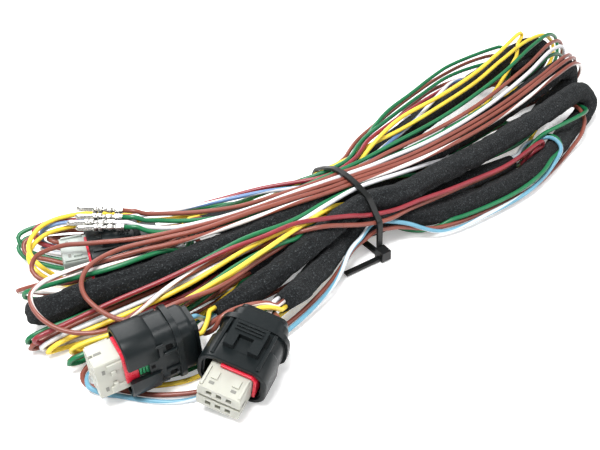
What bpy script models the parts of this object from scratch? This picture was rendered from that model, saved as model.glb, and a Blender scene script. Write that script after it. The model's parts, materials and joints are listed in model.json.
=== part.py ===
# A vehicle wiring harness, wound into a hank and held by one cable tie.
# Frame: x runs along the hank, y across it, z up. The origin lies on the table, under the tie's strap.
# Lengths below are in millimetres. They are turned into metres where an object is made.
import math

import bmesh
import bpy
import numpy as np
from mathutils import Matrix, Vector

MM = 0.001

# Wires and taped runs
WIRE_DIAMETER = 2.0
WIRE_STEP = 5.0            # spacing of the points that are spread apart
WIRE_SIDES = 2             # bevel resolution, 8 sides
TRUNK_STEP = 6.0
CURVE_SAMPLES = 24         # samples of a smooth curve between two of its points
TRUNK_SIDES = 4            # bevel resolution, 12 sides
SPREAD_GAP = 0.5           # gap that the spreading aims for between neighbours
SPREAD_ROUNDS = 200
TRUNK_GIVE = 0.15          # how readily a taped run gives way, beside 1 for a wire
SETTLE_ROUNDS = 70         # last rounds, in which the strands are hardly smoothed
THIN_WIRE = 0.22           # how far a point may lie from the chord before it is kept
THIN_TRUNK = 0.3
LONGEST_CHORD = 28.0
BUNDLE_PITCH = 2.5         # wires side by side where they enter a tape end
FIT_GAP = 0.3              # gap between touching pieces
SHARP_ANGLE = 35.0
TABLE_GAP = 0.25           # strands stay this far above the table

# Cable tie
STRAP_WIDTH = 2.6
STRAP_THICKNESS = 1.2
STRAP_GAP = 0.35
TIE_HALF_WIDTH = 24.6      # half of the oval inside the strap, across
TIE_HALF_HEIGHT = 13.6
TIE_REACH = 9.0            # how far along x the tie squeezes the bundle
TIE_FOOT = (-9.0, 8.0)     # the flat of the strap on the table
STRAP_SIDE = -23.4         # inner face of the strap on the near side, where it enters the head
HEAD_SIZE = (4.8, 5.4, 4.8)
HEAD_HEIGHT = 0.8          # underside of the head above the table
HEAD_JOINT = 0.6           # how far the head reaches into the strap
TAIL_LENGTH = 18.0
TAIL_HEIGHT = 0.8

# Connector, in its own frame: x towards the mating side, y across its broad side, z through the latch
SHELL_WIDTH = 26.0
SHELL_HEIGHT = 17.6
SHELL_LENGTH = 20.0
SHELL_CORNER = 6.0
SHELL_WALL_SIDE = 1.6
SHELL_WALL_TOP = 1.1
SHELL_FLOOR = 4.0          # thickness of the housing behind its cavity
FLANGE_LIP = 1.3
FLANGE_THICKNESS = 2.4
REAR_WIDTH = 19.6
REAR_HEIGHT = 13.6
REAR_LENGTH = 9.0
REAR_CORNER = 3.0
REAR_WALL = 1.5
MAT_DEPTH = 4.0            # depth of the recess that holds the wire seal mat
MAT_THICKNESS = 2.8
COVER_WALL = 1.5
COVER_LENGTH = 5.4
COVER_TAPER = 1.4
LATCH_WIDTH = 14.0
LATCH_LENGTH = 12.0
LATCH_HEIGHT = 3.6
LATCH_SLOT = 6.0
LATCH_START = 3.0          # latch block behind the flange plane
LATCH_FLOOR = 1.2          # material left under the slot of the latch
WINDOW_LENGTH = 7.4
WINDOW_WIDTH = 6.4
POCKET_SIZE = 2.2
POCKET_DEPTH = 0.8
POCKET_PLACE = (2.4, 6.4)
CARRIER_ROOM_SIDE = 2.7    # between the carrier and the wall of the cavity, on the short sides
CARRIER_ROOM_TOP = 1.8     # and on the long sides
CARRIER_CORNER = 1.2
CARRIER_PROUD = 12.0       # how far the carrier stands out of the shell
GROOVE_WIDTH = 1.4
GROOVE_DEPTH = 1.6
OPENING_SIZE = 2.2
OPENING_DEPTH = 4.0
OPENING_PITCH = 4.0
CATCH_SIZE = (3.4, 2.6, 0.7)
CATCH_SETBACK = 8.0        # latch catches behind the front face of the carrier
LOCK_THICKNESS = 1.2
LOCK_LENGTH = 5.2
LOCK_PROUD = 1.8
LOCK_CORNER = 2.1          # the lock keeps clear of the rounded corners of the cavity
RING_LENGTH = 8.4
RING_RIDGE = 0.6
CAVITY_SPACING = (4.6, 2.6)
WIRES_IN_RING = 6          # wires round the middle one of a bundle

# Crimped terminal, along x from its tip
PIN_LENGTH = 20.0
PIN_PROFILE = ((0.0, 0.45, 0.45), (0.5, 0.95, 0.95), (1.2, 1.15, 1.15), (7.0, 1.15, 1.15), (7.6, 1.5, 1.3),
               (8.4, 1.6, 1.45), (11.8, 1.6, 1.45), (12.4, 1.0, 0.8), (13.2, 1.25, 1.1), (15.6, 1.25, 1.1),
               (16.4, 0.9, 0.8), (17.2, 1.5, 1.45), (19.4, 1.5, 1.45), (PIN_LENGTH, 1.35, 1.3))
PIN_SIDES = 10

# Place of each connector: centre of its flange, yaw, pitch and roll in degrees, rear cover or not
CONNECTORS = {
    "connector_1": ((-109.5, -35.0, 18.2), 174.0, 4.0, 90.0, True),
    "connector_2": ((-81.2, -48.5, 14.2), 212.0, 7.0, -10.0, True),
    "connector_3": ((-91.0, 27.5, 13.4), 163.0, 0.0, 0.0, False),
}
# The long side that the lock of each connector lies on: 1 with the latch, -1 opposite it
LOCK_SIDES = {"connector_1": -1, "connector_2": 1, "connector_3": 1}
# Tip and crimp end of each terminal
PINS = (((-107.9, 48.2, 28.6), (-92.4, 35.5, 28.6)), ((-110.6, 44, 28), (-94.4, 32.2, 28)),
        ((-115.3, 41.9, 28), (-98.7, 30.7, 28)), ((-113.9, 36.3, 28.2), (-97.1, 25.4, 28.2)))

# Taped runs: diameter and hand-chosen points from end to end
TRUNKS = {
    "trunk_far": (11.0, (
        (-60, 26, 12), (-50, 23, 12), (-36, 20, 12), (-18, 18, 13), (0, 16, 14), (28, 21, 14),
        (58, 28, 16), (90, 35, 18), (121, 42, 20), (147, 48, 21), (162, 50, 20.5), (171, 51, 17),
        (174, 51, 12), (170, 51, 7.5), (161, 50, 6), (148, 49, 6))),
    "trunk_main": (11.0, (
        (104, 28, 6), (85, 24, 6), (45, 15, 6), (0, 9, 7), (-40, 9, 6), (-80, 6, 6), (-100, 9, 6),
        (-116, 14, 6), (-129, 17, 6), (-138, 18, 8), (-143, 16, 12), (-141, 12, 15), (-135, 10, 16),
        (-127, 10, 16), (-116, 8, 16), (-99, 5, 17), (-78, 1, 19), (-57, -1, 20), (-32, -1, 21),
        (0, 1, 21), (31, 2, 20), (66, 6, 20), (105, 12, 20), (138, 19, 20.5), (156, 24, 20),
        (166, 26, 17), (169, 26, 12), (166, 24, 7.5), (158, 21, 6), (146, 17, 6), (134, 13, 6))),
    "trunk_near": (10.4, (
        (-85, -28, 14), (-71, -26, 14), (-47, -22, 15), (-28, -18, 16), (0, -12, 18.5), (18, -14, 18),
        (45, -11, 18), (72, -9, 18), (102, -5, 19), (132, 0, 20), (146, 3, 19.5), (154, 4, 16),
        (157, 3, 11), (153, 1, 7), (145, -2, 6), (134, -6, 6), (117, -13, 6), (101, -18, 6),
        (82, -22, 6), (60, -23, 6), (36, -22, 6), (18, -19, 8), (0, -15, 10), (-20, -20, 10),
        (-37, -27, 10), (-50, -33, 11), (-61, -37, 13))),
    "trunk_low": (10.4, (
        (-58, -8, 6), (-42, -7, 6), (-20, -6, 6), (0, -5, 7), (20, -7, 6), (45, -10, 6), (72, -11, 6),
        (92, -11, 6))),
}
# Each tape end that wires enter: the run and the end of it
TAPE_ENDS = {
    "far_left": ("trunk_far", 0), "far_right": ("trunk_far", -1),
    "main_right": ("trunk_main", 0), "main_top": ("trunk_main", -1),
    "near_connector": ("trunk_near", 0), "low_connector": ("trunk_near", -1),
    "low_left": ("trunk_low", 0), "low_right": ("trunk_low", -1),
}

# Wires: colour, start, hand-chosen points, end
WIRES = {
    "wire_pin_brown": ("brown", ("pin", 0), (
        (-86, 31, 27), (-76, 27, 25), (-63, 21, 24), (-48, 15, 24), (-31, 11, 25), (-15, 8, 26), (0, 7, 27),
        (16, 5, 28), (48, 6, 27), (86, 12, 27), (136, 27, 27), (168, 40, 26), (180, 44, 21),
        (183, 44, 14), (178, 42, 7), (160, 37, 6), (130, 32, 8)), ("tape", "main_right", 2)),
    "wire_pin_green": ("green", ("pin", 1), (
        (-88, 28, 26), (-78, 24, 23), (-65, 18, 22), (-47, 13, 21), (-27, 12, 23), (0, 10, 26), (35, 12, 27),
        (73, 17, 27), (119, 29, 27), (157, 43, 27), (175, 49, 25), (184, 51, 18), (183, 48, 10),
        (170, 42, 4), (145, 34, 3), (130, 33, 5)), ("tape", "main_right", 1)),
    "wire_pin_white": ("white", ("pin", 2), (
        (-91, 25, 26), (-80, 20, 23), (-64, 14, 24), (-45, 10, 25), (-22, 8, 26), (0, 5, 27), (20, 3, 28),
        (50, 4, 27), (90, 10, 27), (130, 21, 27), (162, 33, 26), (177, 38, 20), (178, 37, 10),
        (165, 34, 7), (130, 30, 6)), ("tape", "main_right", 0)),
    "wire_pin_green_2": ("green", ("pin", 3), (
        (-90, 20, 26), (-81, 15, 23), (-64, 10, 23), (-45, 8, 23), (-22, 8, 24), (0, 8, 24), (25, 5, 26),
        (60, 6, 26), (100, 13, 26), (135, 23, 26), (160, 32, 25), (173, 36, 18), (172, 34, 8),
        (158, 31, 3), (130, 29, 2)), ("tape", "main_right", 11)),
    "wire_loop_brown_top": ("brown", ("tape", "far_left", 8), (
        (-76, 20, 19), (-92, 13, 23), (-110, 14, 21), (-123, 20, 15), (-131, 29, 11),
        (-136, 37, 13), (-133, 40, 17), (-124, 35, 22), (-112, 26, 24.5), (-93, 14, 27), (-62, 7, 27),
        (-35, 5, 27), (0, 2, 27), (30, -1, 27), (60, 1, 27), (95, 6, 27), (135, 15, 27),
        (160, 23, 26), (174, 29, 20), (175, 30, 10), (160, 28, 3), (130, 27, 3)),
        ("tape", "main_right", 5)),
    "wire_loop_brown_big": ("brown", ("tape", "main_top", 0), (
        (108, 8, 8), (80, 5, 10), (45, 2, 12), (0, 0, 14), (-16, -5, 18), (-35, -12, 21),
        (-60, -18, 22), (-82, -23, 22), (-98, -22, 22), (-110, -20, 20), (-119, -16, 18),
        (-125, -7, 19), (-127, 4, 22), (-121, 12, 24), (-107, 14, 25), (-89, 10, 26), (-73, 5, 27),
        (-48, 2, 28), (-27, 0, 28), (0, 0, 27), (35, -3, 27), (70, 0, 27), (105, 6, 27),
        (140, 14, 28), (162, 20, 26), (174, 25, 19), (174, 26, 11), (158, 29, 9), (130, 28, 9)),
        ("tape", "main_right", 3)),
    "wire_loop_brown_white": ("brown_white", ("tape", "main_top", 1), (
        (108, 6, 7), (80, 3, 8), (45, 2, 8), (20, 1, 8), (0, -1, 9), (-12, -4, 13), (-25, -8, 19),
        (-40, -9, 22), (-60, -10, 23), (-90, -8, 18), (-112, -11, 14), (-125, -12, 13),
        (-138, -5, 14), (-145, 5, 18), (-145, 13, 23), (-138, 17, 24), (-120, 17, 24),
        (-100, 12, 25), (-84, 7, 26), (-61, 3, 27), (-30, 0, 28), (0, -2, 27), (35, -5, 27),
        (70, -3, 27), (110, 4, 27), (143, 12, 28), (164, 18, 26), (175, 22, 18), (175, 24, 10),
        (160, 26, 6), (130, 26, 6)), ("tape", "main_right", 4)),
    "wire_far_yellow": ("yellow", ("cavity", "connector_3", 0), (
        (-70, 28, 15), (-66, 25, 12), (-67, 23, 7), (-74, 22, 3), (-88, 22, 2), (-106, 26, 2),
        (-123, 35, 5), (-131, 43, 10), (-131, 51, 13), (-122, 57, 15), (-107, 57, 14),
        (-90, 53, 11), (-65, 42, 9), (-35, 29, 12), (0, 21, 18), (20, 20, 25), (47, 21, 26),
        (75, 25, 27), (105, 32, 27), (130, 40, 28), (156, 48, 28), (174, 52, 24), (181, 52, 15),
        (170, 45, 9), (140, 36, 9)), ("tape", "main_right", 7)),
    "wire_far_green": ("green", ("tape", "far_left", 11), (
        (-78, 24, 5), (-92, 28, 2), (-108, 38, 2), (-121, 52, 3), (-129, 61, 5), (-129, 67, 8),
        (-120, 65, 10), (-100, 58, 8), (-65, 44, 6), (-30, 30, 10), (0, 20, 20), (22, 26, 24),
        (50, 38, 20), (85, 52, 16), (115, 63, 13), (143, 67, 10), (163, 67, 7), (171, 61, 4),
        (165, 50, 3), (140, 38, 3)), ("tape", "main_right", 12)),
    "wire_far_brown": ("brown", ("cavity", "connector_3", 1), (
        (-71, 18, 15), (-67, 16, 11), (-69, 17, 6), (-77, 21, 3), (-90, 28, 2), (-106, 38, 3),
        (-121, 51, 5), (-129, 58, 8), (-127, 62, 11), (-112, 60, 11), (-92, 53, 7), (-62, 41, 4),
        (-30, 32, 6), (0, 22, 15), (22, 30, 20), (45, 40, 18), (80, 55, 14), (116, 67, 11),
        (143, 72, 9), (160, 72, 7), (167, 68, 5), (161, 63, 3), (147, 60, 2), (133, 56, 3),
        (129, 52, 4)), ("tape", "far_right", 2)),
    "wire_far_white": ("white_blue", ("cavity", "connector_3", 2), (
        (-71, 22, 8), (-69, 21, 5), (-76, 25, 3), (-90, 33, 3), (-105, 42, 5), (-118, 50, 8),
        (-124, 54, 10), (-121, 58, 8), (-108, 56, 5), (-90, 50, 4), (-60, 38, 3), (-30, 28, 4),
        (0, 18, 4), (25, 24, 5), (50, 37, 8), (80, 49, 9), (105, 56, 8), (125, 55, 7), (137, 52, 6)),
        ("tape", "far_right", 0)),
    "wire_fan_green": ("green", ("tape", "low_left", 4), (
        (-80, -3, 4), (-110, 3, 3), (-136, 9, 3), (-148, 11, 4), (-152, 10, 7), (-146, 9, 10),
        (-124, 6, 13), (-97, 0, 17), (-66, -6, 22), (-35, -9, 23), (-16, -6, 24), (0, -5, 25),
        (20, -6, 24), (40, -6, 17), (60, -7, 11), (85, -6, 10), (105, -4, 10), (126, 3, 11),
        (140, 7, 10), (150, 8, 9), (154, 3, 8), (150, -5, 9), (140, -9, 12), (126, -10, 13),
        (112, -9, 11)), ("tape", "low_right", 1)),
    "wire_fan_brown": ("brown", ("tape", "low_left", 5), (
        (-80, -5, 3), (-110, 1, 2), (-135, 6, 2), (-148, 7, 3), (-152, 6, 6), (-146, 5, 8),
        (-124, 3, 11), (-97, -2, 15), (-66, -8, 21), (-50, -11, 22), (-38, -14, 23), (-26, -19, 23),
        (-14, -22, 20), (-4, -22, 17), (8, -22, 15), (18, -21, 15), (34, -20, 14), (55, -19, 13),
        (78, -18, 12), (94, -15, 12), (106, -12, 12), (112, -10, 9), (107, -11, 7)),
        ("tape", "low_right", 3)),
    "wire_fan_white": ("white", ("tape", "low_left", 11), (
        (-80, -7, 3), (-110, -2, 2), (-134, 3, 2), (-145, 4, 3), (-149, 3, 5), (-143, 2, 8),
        (-122, 0, 10), (-97, -4, 14), (-66, -9, 21), (-35, -10, 24), (-18, -8, 26), (0, -6, 27),
        (18, -6, 26), (37, -5, 23), (55, -1, 18), (75, 4, 13), (105, 8, 10)), ("tape", "main_top", 8)),
    "wire_fan_yellow": ("yellow", ("tape", "low_left", 3), (
        (-80, -8, 6), (-110, -5, 3), (-134, 0, 2), (-143, 1, 3), (-147, 0, 5), (-141, -1, 8),
        (-125, -4, 11), (-107, -7, 14), (-86, -10, 18), (-59, -11, 23), (-35, -12, 23),
        (-15, -8, 18), (0, -2, 11), (30, 1, 9), (70, 6, 8), (105, 11, 7)), ("tape", "main_top", 4)),
    "wire_fan_yellow_2": ("yellow", ("tape", "low_left", 0), (
        (-80, -10, 5), (-110, -9, 3), (-128, -6, 2), (-137, -5, 3), (-140, -6, 5), (-134, -8, 8),
        (-122, -11, 10), (-109, -14, 13), (-100, -16, 15), (-84, -17, 18), (-67, -17, 21),
        (-40, -12, 22), (-18, -7, 19), (0, -4, 14), (30, -3, 12), (70, 2, 11), (105, 6, 9)),
        ("tape", "main_top", 2)),
    "wire_fan_brown_2": ("brown", ("tape", "low_left", 2), (
        (-80, -12, 7), (-110, -12, 4), (-130, -9, 2), (-139, -9, 3), (-142, -9, 5), (-136, -11, 7),
        (-120, -14, 9), (-100, -15, 12), (-80, -15, 16), (-60, -14, 20), (-35, -12, 21),
        (-16, -6, 16), (0, 1, 13), (30, 5, 13), (70, 9, 12), (105, 12, 10)), ("tape", "main_top", 3)),
    "wire_low_brown": ("brown", ("tape", "low_left", 6), (
        (-80, -13, 4), (-100, -15, 5), (-128, -15, 5), (-140, -17, 3), (-142, -23, 2),
        (-132, -35, 1.5), (-117, -47, 2), (-104, -52, 2), (-85, -46, 2), (-52, -40, 3),
        (-30, -33, 4), (-10, -25, 7), (0, -22, 9), (10, -24, 7), (30, -29, 3), (65, -30, 3),
        (92, -26, 3), (114, -18, 3), (130, -13, 4), (142, -9, 7), (149, -3, 11), (150, 4, 13),
        (145, 7, 13), (134, 5, 13), (122, 1, 12), (114, 3, 9), (118, 7, 7)), ("tape", "main_top", 7)),
    "wire_low_blue": ("blue", ("tape", "low_left", 12), (
        (-80, -15, 3), (-100, -18, 4), (-126, -18, 4), (-135, -21, 4), (-138, -27, 5),
        (-129, -39, 5), (-113, -52, 3), (-98, -55, 2), (-80, -49, 2), (-52, -43, 3), (-30, -36, 4),
        (-10, -27, 9), (0, -22, 12), (10, -24, 10), (30, -32, 2), (60, -32, 2), (85, -29, 3),
        (104, -23, 6), (114, -20, 11), (116, -12, 12), (108, -8, 9)), ("tape", "low_right", 2)),
    "wire_low_yellow": ("yellow", ("tape", "low_left", 1), (
        (-82, -16, 5), (-100, -19, 6), (-124, -19, 5), (-132, -22, 4), (-133, -28, 3),
        (-122, -37, 2), (-105, -44, 2), (-85, -41, 2), (-52, -37, 4), (-30, -31, 3), (-9, -24, 3),
        (5, -16, 3), (25, -16, 3), (50, -19, 3), (80, -19, 3), (100, -16, 3), (113, -3, 4)),
        ("tape", "main_top", 12)),
    "wire_low_green": ("green", ("tape", "low_left", 7), (
        (-84, -17, 4), (-100, -20, 4), (-120, -21, 4), (-128, -24, 4), (-128, -29, 3),
        (-117, -35, 2), (-100, -38, 2), (-86, -35, 3), (-76, -33, 7)), ("tape", "low_connector", 4)),
    "wire_small_brown": ("brown_white", ("tape", "far_left", 2), (
        (-76, 14, 18), (-92, 11, 22), (-111, 14, 23), (-126, 24, 17), (-138, 34, 11), (-142, 38, 8),
        (-136, 36, 6), (-122, 28, 3), (-105, 19, 3), (-84, 17, 3)), ("tape", "far_left", 6)),
    "wire_small_green": ("green", ("tape", "far_left", 1), (
        (-76, 13, 16), (-92, 9, 24), (-111, 11, 24), (-127, 20, 19), (-139, 29, 13), (-143, 33, 9),
        (-138, 31, 6), (-124, 24, 2), (-106, 17, 2), (-84, 15, 2)), ("tape", "far_left", 12)),
}
# Short wires between a tape end and the rear of a connector: colour and cavity
SHORT_WIRES = {
    "connector_1": ("near_connector", ("brown", "blue", "yellow")),
    "connector_2": ("low_connector", ("yellow", "brown", "white")),
}
SHORT_WIRE_SLOTS = (1, 5, 3)
SHORT_LEAD = 3.0           # straight stretch at each end of a short wire
CAVITIES = ((-1, 1), (1, 1), (0, -1))

COLOURS = {
    "brown": (0.23, 0.085, 0.05), "green": (0.01, 0.24, 0.09), "yellow": (0.80, 0.56, 0.02),
    "white": (0.78, 0.79, 0.82), "blue": (0.13, 0.42, 0.66), "brown_white": (0.36, 0.20, 0.16),
    "white_blue": (0.55, 0.60, 0.70), "fleece": (0.012, 0.013, 0.015), "housing": (0.018, 0.02, 0.022),
    "carrier": (0.74, 0.75, 0.68), "carrier_grey": (0.42, 0.47, 0.45), "lock": (0.62, 0.02, 0.04),
    "seal": (0.03, 0.36, 0.12), "mat": (0.30, 0.31, 0.33), "metal": (0.66, 0.65, 0.62),
    "tie": (0.012, 0.012, 0.013),
}


def material(name, roughness=0.45, metallic=0.0):
    made = bpy.data.materials.get(name)
    if made is None:
        made = bpy.data.materials.new(name)
        made.use_nodes = True
        shader = made.node_tree.nodes["Principled BSDF"]
        shader.inputs["Base Color"].default_value = (*COLOURS[name], 1.0)
        shader.inputs["Roughness"].default_value = roughness
        shader.inputs["Metallic"].default_value = metallic
    return made


def clear_scene():
    for thing in list(bpy.data.objects):
        bpy.data.objects.remove(thing, do_unlink=True)


# Curves through points

def smooth_curve(points, step):
    """A centripetal curve through the points, evenly sampled from the second point to the last but one."""
    given = np.array(points, float)
    ends = np.vstack([2 * given[0] - given[1], given, 2 * given[-1] - given[-2]])
    stretches = []
    for i in range(1, len(ends) - 2):
        p = ends[i - 1:i + 3]
        t = [0.0]
        for a, b in zip(p, p[1:]):
            t.append(t[-1] + math.sqrt(max(np.linalg.norm(b - a), 1e-6)))
        u = np.linspace(t[1], t[2], CURVE_SAMPLES, endpoint=False)[:, None]
        a1 = (t[1] - u) / (t[1] - t[0]) * p[0] + (u - t[0]) / (t[1] - t[0]) * p[1]
        a2 = (t[2] - u) / (t[2] - t[1]) * p[1] + (u - t[1]) / (t[2] - t[1]) * p[2]
        a3 = (t[3] - u) / (t[3] - t[2]) * p[2] + (u - t[2]) / (t[3] - t[2]) * p[3]
        b1 = (t[2] - u) / (t[2] - t[0]) * a1 + (u - t[0]) / (t[2] - t[0]) * a2
        b2 = (t[3] - u) / (t[3] - t[1]) * a2 + (u - t[1]) / (t[3] - t[1]) * a3
        stretches.append((t[2] - u) / (t[2] - t[1]) * b1 + (u - t[1]) / (t[2] - t[1]) * b2)
    stretches.append(given[-1:])
    dense = np.vstack(stretches)
    along = np.concatenate([[0.0], np.cumsum(np.linalg.norm(np.diff(dense, axis=0), axis=1))])
    low, high = along[CURVE_SAMPLES], along[-1 - CURVE_SAMPLES]
    count = max(1, int(round((high - low) / step)))
    wanted = np.concatenate([[0.0], np.linspace(low, high, count + 1), along[-1:]])
    return np.stack([np.interp(wanted, along, dense[:, k]) for k in range(3)], axis=1)


def thin_out(points, tolerance):
    """Drops the points that lie within the tolerance of the chord between kept ones."""
    keep = {0, len(points) - 1, 1, len(points) - 2}
    stack = [(0, len(points) - 1)]
    while stack:
        a, b = stack.pop()
        if b - a < 2:
            continue
        chord = points[b] - points[a]
        size = np.linalg.norm(chord)
        inner = points[a + 1:b] - points[a]
        t = np.clip(inner @ chord / max(size * size, 1e-9), 0.0, 1.0)
        off = np.linalg.norm(inner - t[:, None] * chord, axis=1)
        worst = int(off.argmax())
        if off[worst] > tolerance or size > LONGEST_CHORD:
            middle = a + 1 + worst if off[worst] > tolerance else (a + b) // 2
            keep.add(middle)
            stack += [(a, middle), (middle, b)]
    return points[sorted(keep)]


# Spreading the strands apart, so that none runs through another

def nearest_between(p1, q1, p2, q2):
    d1, d2, r = q1 - p1, q2 - p2, p1 - p2
    a = (d1 * d1).sum(1) + 1e-12
    e = (d2 * d2).sum(1) + 1e-12
    b, c, f = (d1 * d2).sum(1), (d1 * r).sum(1), (d2 * r).sum(1)
    det = a * e - b * b
    s = np.where(det > 1e-9, np.clip((b * f - c * e) / np.maximum(det, 1e-9), 0, 1), 0.5)
    t = np.clip((b * s + f) / e, 0, 1)
    s = np.clip((b * t - c) / a, 0, 1)
    t = np.clip((b * s + f) / e, 0, 1)
    apart = (p1 + d1 * s[:, None]) - (p2 + d2 * t[:, None])
    return s, t, apart, np.sqrt((apart * apart).sum(1))


def table_height(x):
    """Lowest height of a strand's underside: over the strap it is lifted by the strap."""
    strap = STRAP_THICKNESS + STRAP_GAP - TABLE_GAP
    return TABLE_GAP + strap * np.exp(-(x / 8.0) ** 2)


def near_pairs(x, seg, own, radius, joins, first):
    middle = 0.5 * (x[seg] + x[seg + 1])
    half = 0.5 * np.linalg.norm(x[seg + 1] - x[seg], axis=1).max()
    size = (middle * middle).sum(1)
    far2 = size[:, None] + size[None] - 2 * middle @ middle.T
    reach = radius[:, None] + radius[None] + SPREAD_GAP + 2 * half + 3.0
    i, j = np.nonzero(np.triu(far2 < reach * reach, 5))
    same = own[i] == own[j]
    keep = ~same | ((j - i) * 2 * half > 3.4 * (radius[i] + radius[j]))
    i, j = i[keep], j[keep]
    k, l = np.nonzero(np.triu(far2 < reach * reach, 1) & ~np.triu(np.ones_like(far2, bool), 5))
    keep = own[k] != own[l]
    i, j = np.concatenate([i, k[keep]]), np.concatenate([j, l[keep]])
    for run, run_end, wire, wire_end in joins:
        last = first[wire + 1] - 1
        on_wire = seg < first[wire] + 2 if wire_end == 0 else seg >= last - 2
        last = first[run + 1] - 1
        on_run = seg < first[run] + 2 if run_end == 0 else seg >= last - 2
        met = (on_run[i] & on_wire[j] & (own[i] == run) & (own[j] == wire))
        met |= (on_run[j] & on_wire[i] & (own[j] == run) & (own[i] == wire))
        i, j = i[~met], j[~met]
    return i, j


def push_out_of_blocks(x, radius, free, blocks):
    for centre, axes, half in blocks:
        local = (x - centre) @ axes
        room = half + radius[:, None] + SPREAD_GAP
        depth = room - np.abs(local)
        inside = (depth > 0).all(axis=1) & free
        if inside.any():
            side = depth[inside].argmin(axis=1)
            rows = np.nonzero(inside)[0]
            sign = np.where(local[rows, side] >= 0, 1.0, -1.0)
            x[rows] += (sign * depth[rows, side])[:, None] * axes[:, side].T


def spread(strands, blocks, joins):
    """Moves strands apart by small smooth shifts. A strand is (points, radius, fixed ends, weight)."""
    x = np.vstack([s[0] for s in strands])
    home = x.copy()
    first = np.cumsum([0] + [len(s[0]) for s in strands])
    own = np.concatenate([np.full(len(s[0]), k) for k, s in enumerate(strands)])
    radius = np.concatenate([np.full(len(s[0]), s[1]) for s in strands])
    weight = np.concatenate([np.full(len(s[0]), s[3]) for s in strands])
    for k, s in enumerate(strands):
        weight[first[k]:first[k] + s[2]] = 0.0
        weight[first[k + 1] - s[2]:first[k + 1]] = 0.0
    free = weight > 0
    seg = np.concatenate([np.arange(first[k], first[k + 1] - 1) for k in range(len(strands))])
    inner = np.setdiff1d(np.arange(len(x)), np.concatenate([first[:-1], first[1:] - 1]))
    inner = inner[free[inner]]
    for turn in range(SPREAD_ROUNDS):
        if turn % 10 == 0:
            i, j = near_pairs(x, seg, own[seg], radius[seg], joins, first)
            wanted = radius[seg][i] + radius[seg][j] + SPREAD_GAP
            pi, pj = seg[i], seg[j]
        s, t, apart, gap = nearest_between(x[pi], x[pi + 1], x[pj], x[pj + 1])
        hit = gap < wanted
        s, t, apart, gap, a, b = s[hit], t[hit], apart[hit], gap[hit], pi[hit], pj[hit]
        short = wanted[hit] - gap
        away = apart / np.maximum(gap, 1e-6)[:, None]
        away[gap < 1e-3] = (0.0, 0.0, 1.0)
        shares = ((a, 1 - s, 1.0), (a + 1, s, 1.0), (b, 1 - t, -1.0), (b + 1, t, -1.0))
        give = sum(share * share * weight[idx] for idx, share, _ in shares)
        top = np.maximum.reduce([weight[idx] for idx, _, _ in shares])
        pull = short / np.maximum(give, 0.35 * top + 1e-9)
        move, count = np.zeros_like(x), np.zeros(len(x))
        for idx, share, sign in shares:
            amount = sign * share * weight[idx] * pull
            for axis in range(3):
                move[:, axis] += np.bincount(idx, amount * away[:, axis], len(x))
            count += np.bincount(idx, (weight[idx] > 0).astype(float), len(x))
        move /= np.maximum(count, 1.0)[:, None]
        x += move * 1.2
        push_out_of_blocks(x, radius, free, blocks)
        hold = np.exp(-(x[:, 0] / TIE_REACH) ** 2) * free
        mid = STRAP_THICKNESS + TIE_HALF_HEIGHT
        ey = x[:, 1] / (TIE_HALF_WIDTH - radius - STRAP_GAP)
        ez = (x[:, 2] - mid) / (TIE_HALF_HEIGHT - radius - STRAP_GAP)
        outside = np.maximum(np.sqrt(ey * ey + ez * ez), 1.0)
        shrink = (1 - 1 / outside) * hold
        x[:, 1] -= shrink * x[:, 1]
        x[:, 2] -= shrink * (x[:, 2] - mid)
        shift = x - home
        settling = turn >= SPREAD_ROUNDS - SETTLE_ROUNDS
        for _ in range(1 if settling else 3):
            bend = shift[inner - 1] + shift[inner + 1] - 2 * shift[inner]
            shift[inner] += (0.04 if settling else 0.25) * bend
        x = home + shift
        x[free, 2] = np.maximum(x[free, 2], (table_height(x[:, 0]) + radius)[free])
    return [x[first[k]:first[k + 1]] for k in range(len(strands))]


# Where wires start and end

def bundle_place(slot):
    """Place of a wire in a round bundle: the middle, a ring of six, and a ring of six outside it."""
    if slot == 0:
        return 0.0, 0.0
    pitch = 360.0 / WIRES_IN_RING
    if slot <= WIRES_IN_RING:
        ring, turn = 1.0, pitch * (slot - 1)
    else:
        ring, turn = math.sqrt(3.0), pitch * (slot - WIRES_IN_RING - 0.5)
    angle = math.radians(turn)
    return ring * BUNDLE_PITCH * math.cos(angle), ring * BUNDLE_PITCH * math.sin(angle)


def tape_end(name):
    run, which = TAPE_ENDS[name]
    points = [Vector(p) for p in TRUNKS[run][1]]
    tip, before = (points[0], points[1]) if which == 0 else (points[-1], points[-2])
    return tip, (tip - before).normalized()


def pin_end(index):
    tip, crimp = (Vector(p) for p in PINS[index])
    along = (crimp - tip).normalized()
    return tip + along * PIN_LENGTH, along


def connector_frame(name):
    centre, yaw, pitch, roll, _ = CONNECTORS[name]
    turn = Matrix.Rotation(math.radians(yaw), 4, "Z") @ Matrix.Rotation(math.radians(pitch), 4, "Y")
    turn = turn @ Matrix.Rotation(math.radians(roll), 4, "X")
    return Matrix.Translation(Vector(centre)) @ turn


def mat_rear():
    return -REAR_LENGTH + MAT_DEPTH - MAT_THICKNESS - FIT_GAP


def cavity_end(name, cavity):
    frame = connector_frame(name)
    across, high = CAVITIES[cavity]
    place = Vector((mat_rear(), across * CAVITY_SPACING[0], high * CAVITY_SPACING[1]))
    return frame @ place, frame.to_3x3() @ Vector((-1.0, 0.0, 0.0))


def end_points(end, lead):
    """The two points of a wire at an end: just off the face it meets, and a little further out."""
    if end[0] == "tape":
        tip, out = tape_end(end[1])
        side = Vector((0.0, 0.0, 1.0)).cross(out).normalized()
        across, high = bundle_place(end[2])
        tip = tip + side * across + out.cross(side) * high
    elif end[0] == "pin":
        tip, out = pin_end(end[1])
    else:
        tip, out = cavity_end(end[1], end[2])
    return [tuple(tip + out * FIT_GAP), tuple(tip + out * lead)]


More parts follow.
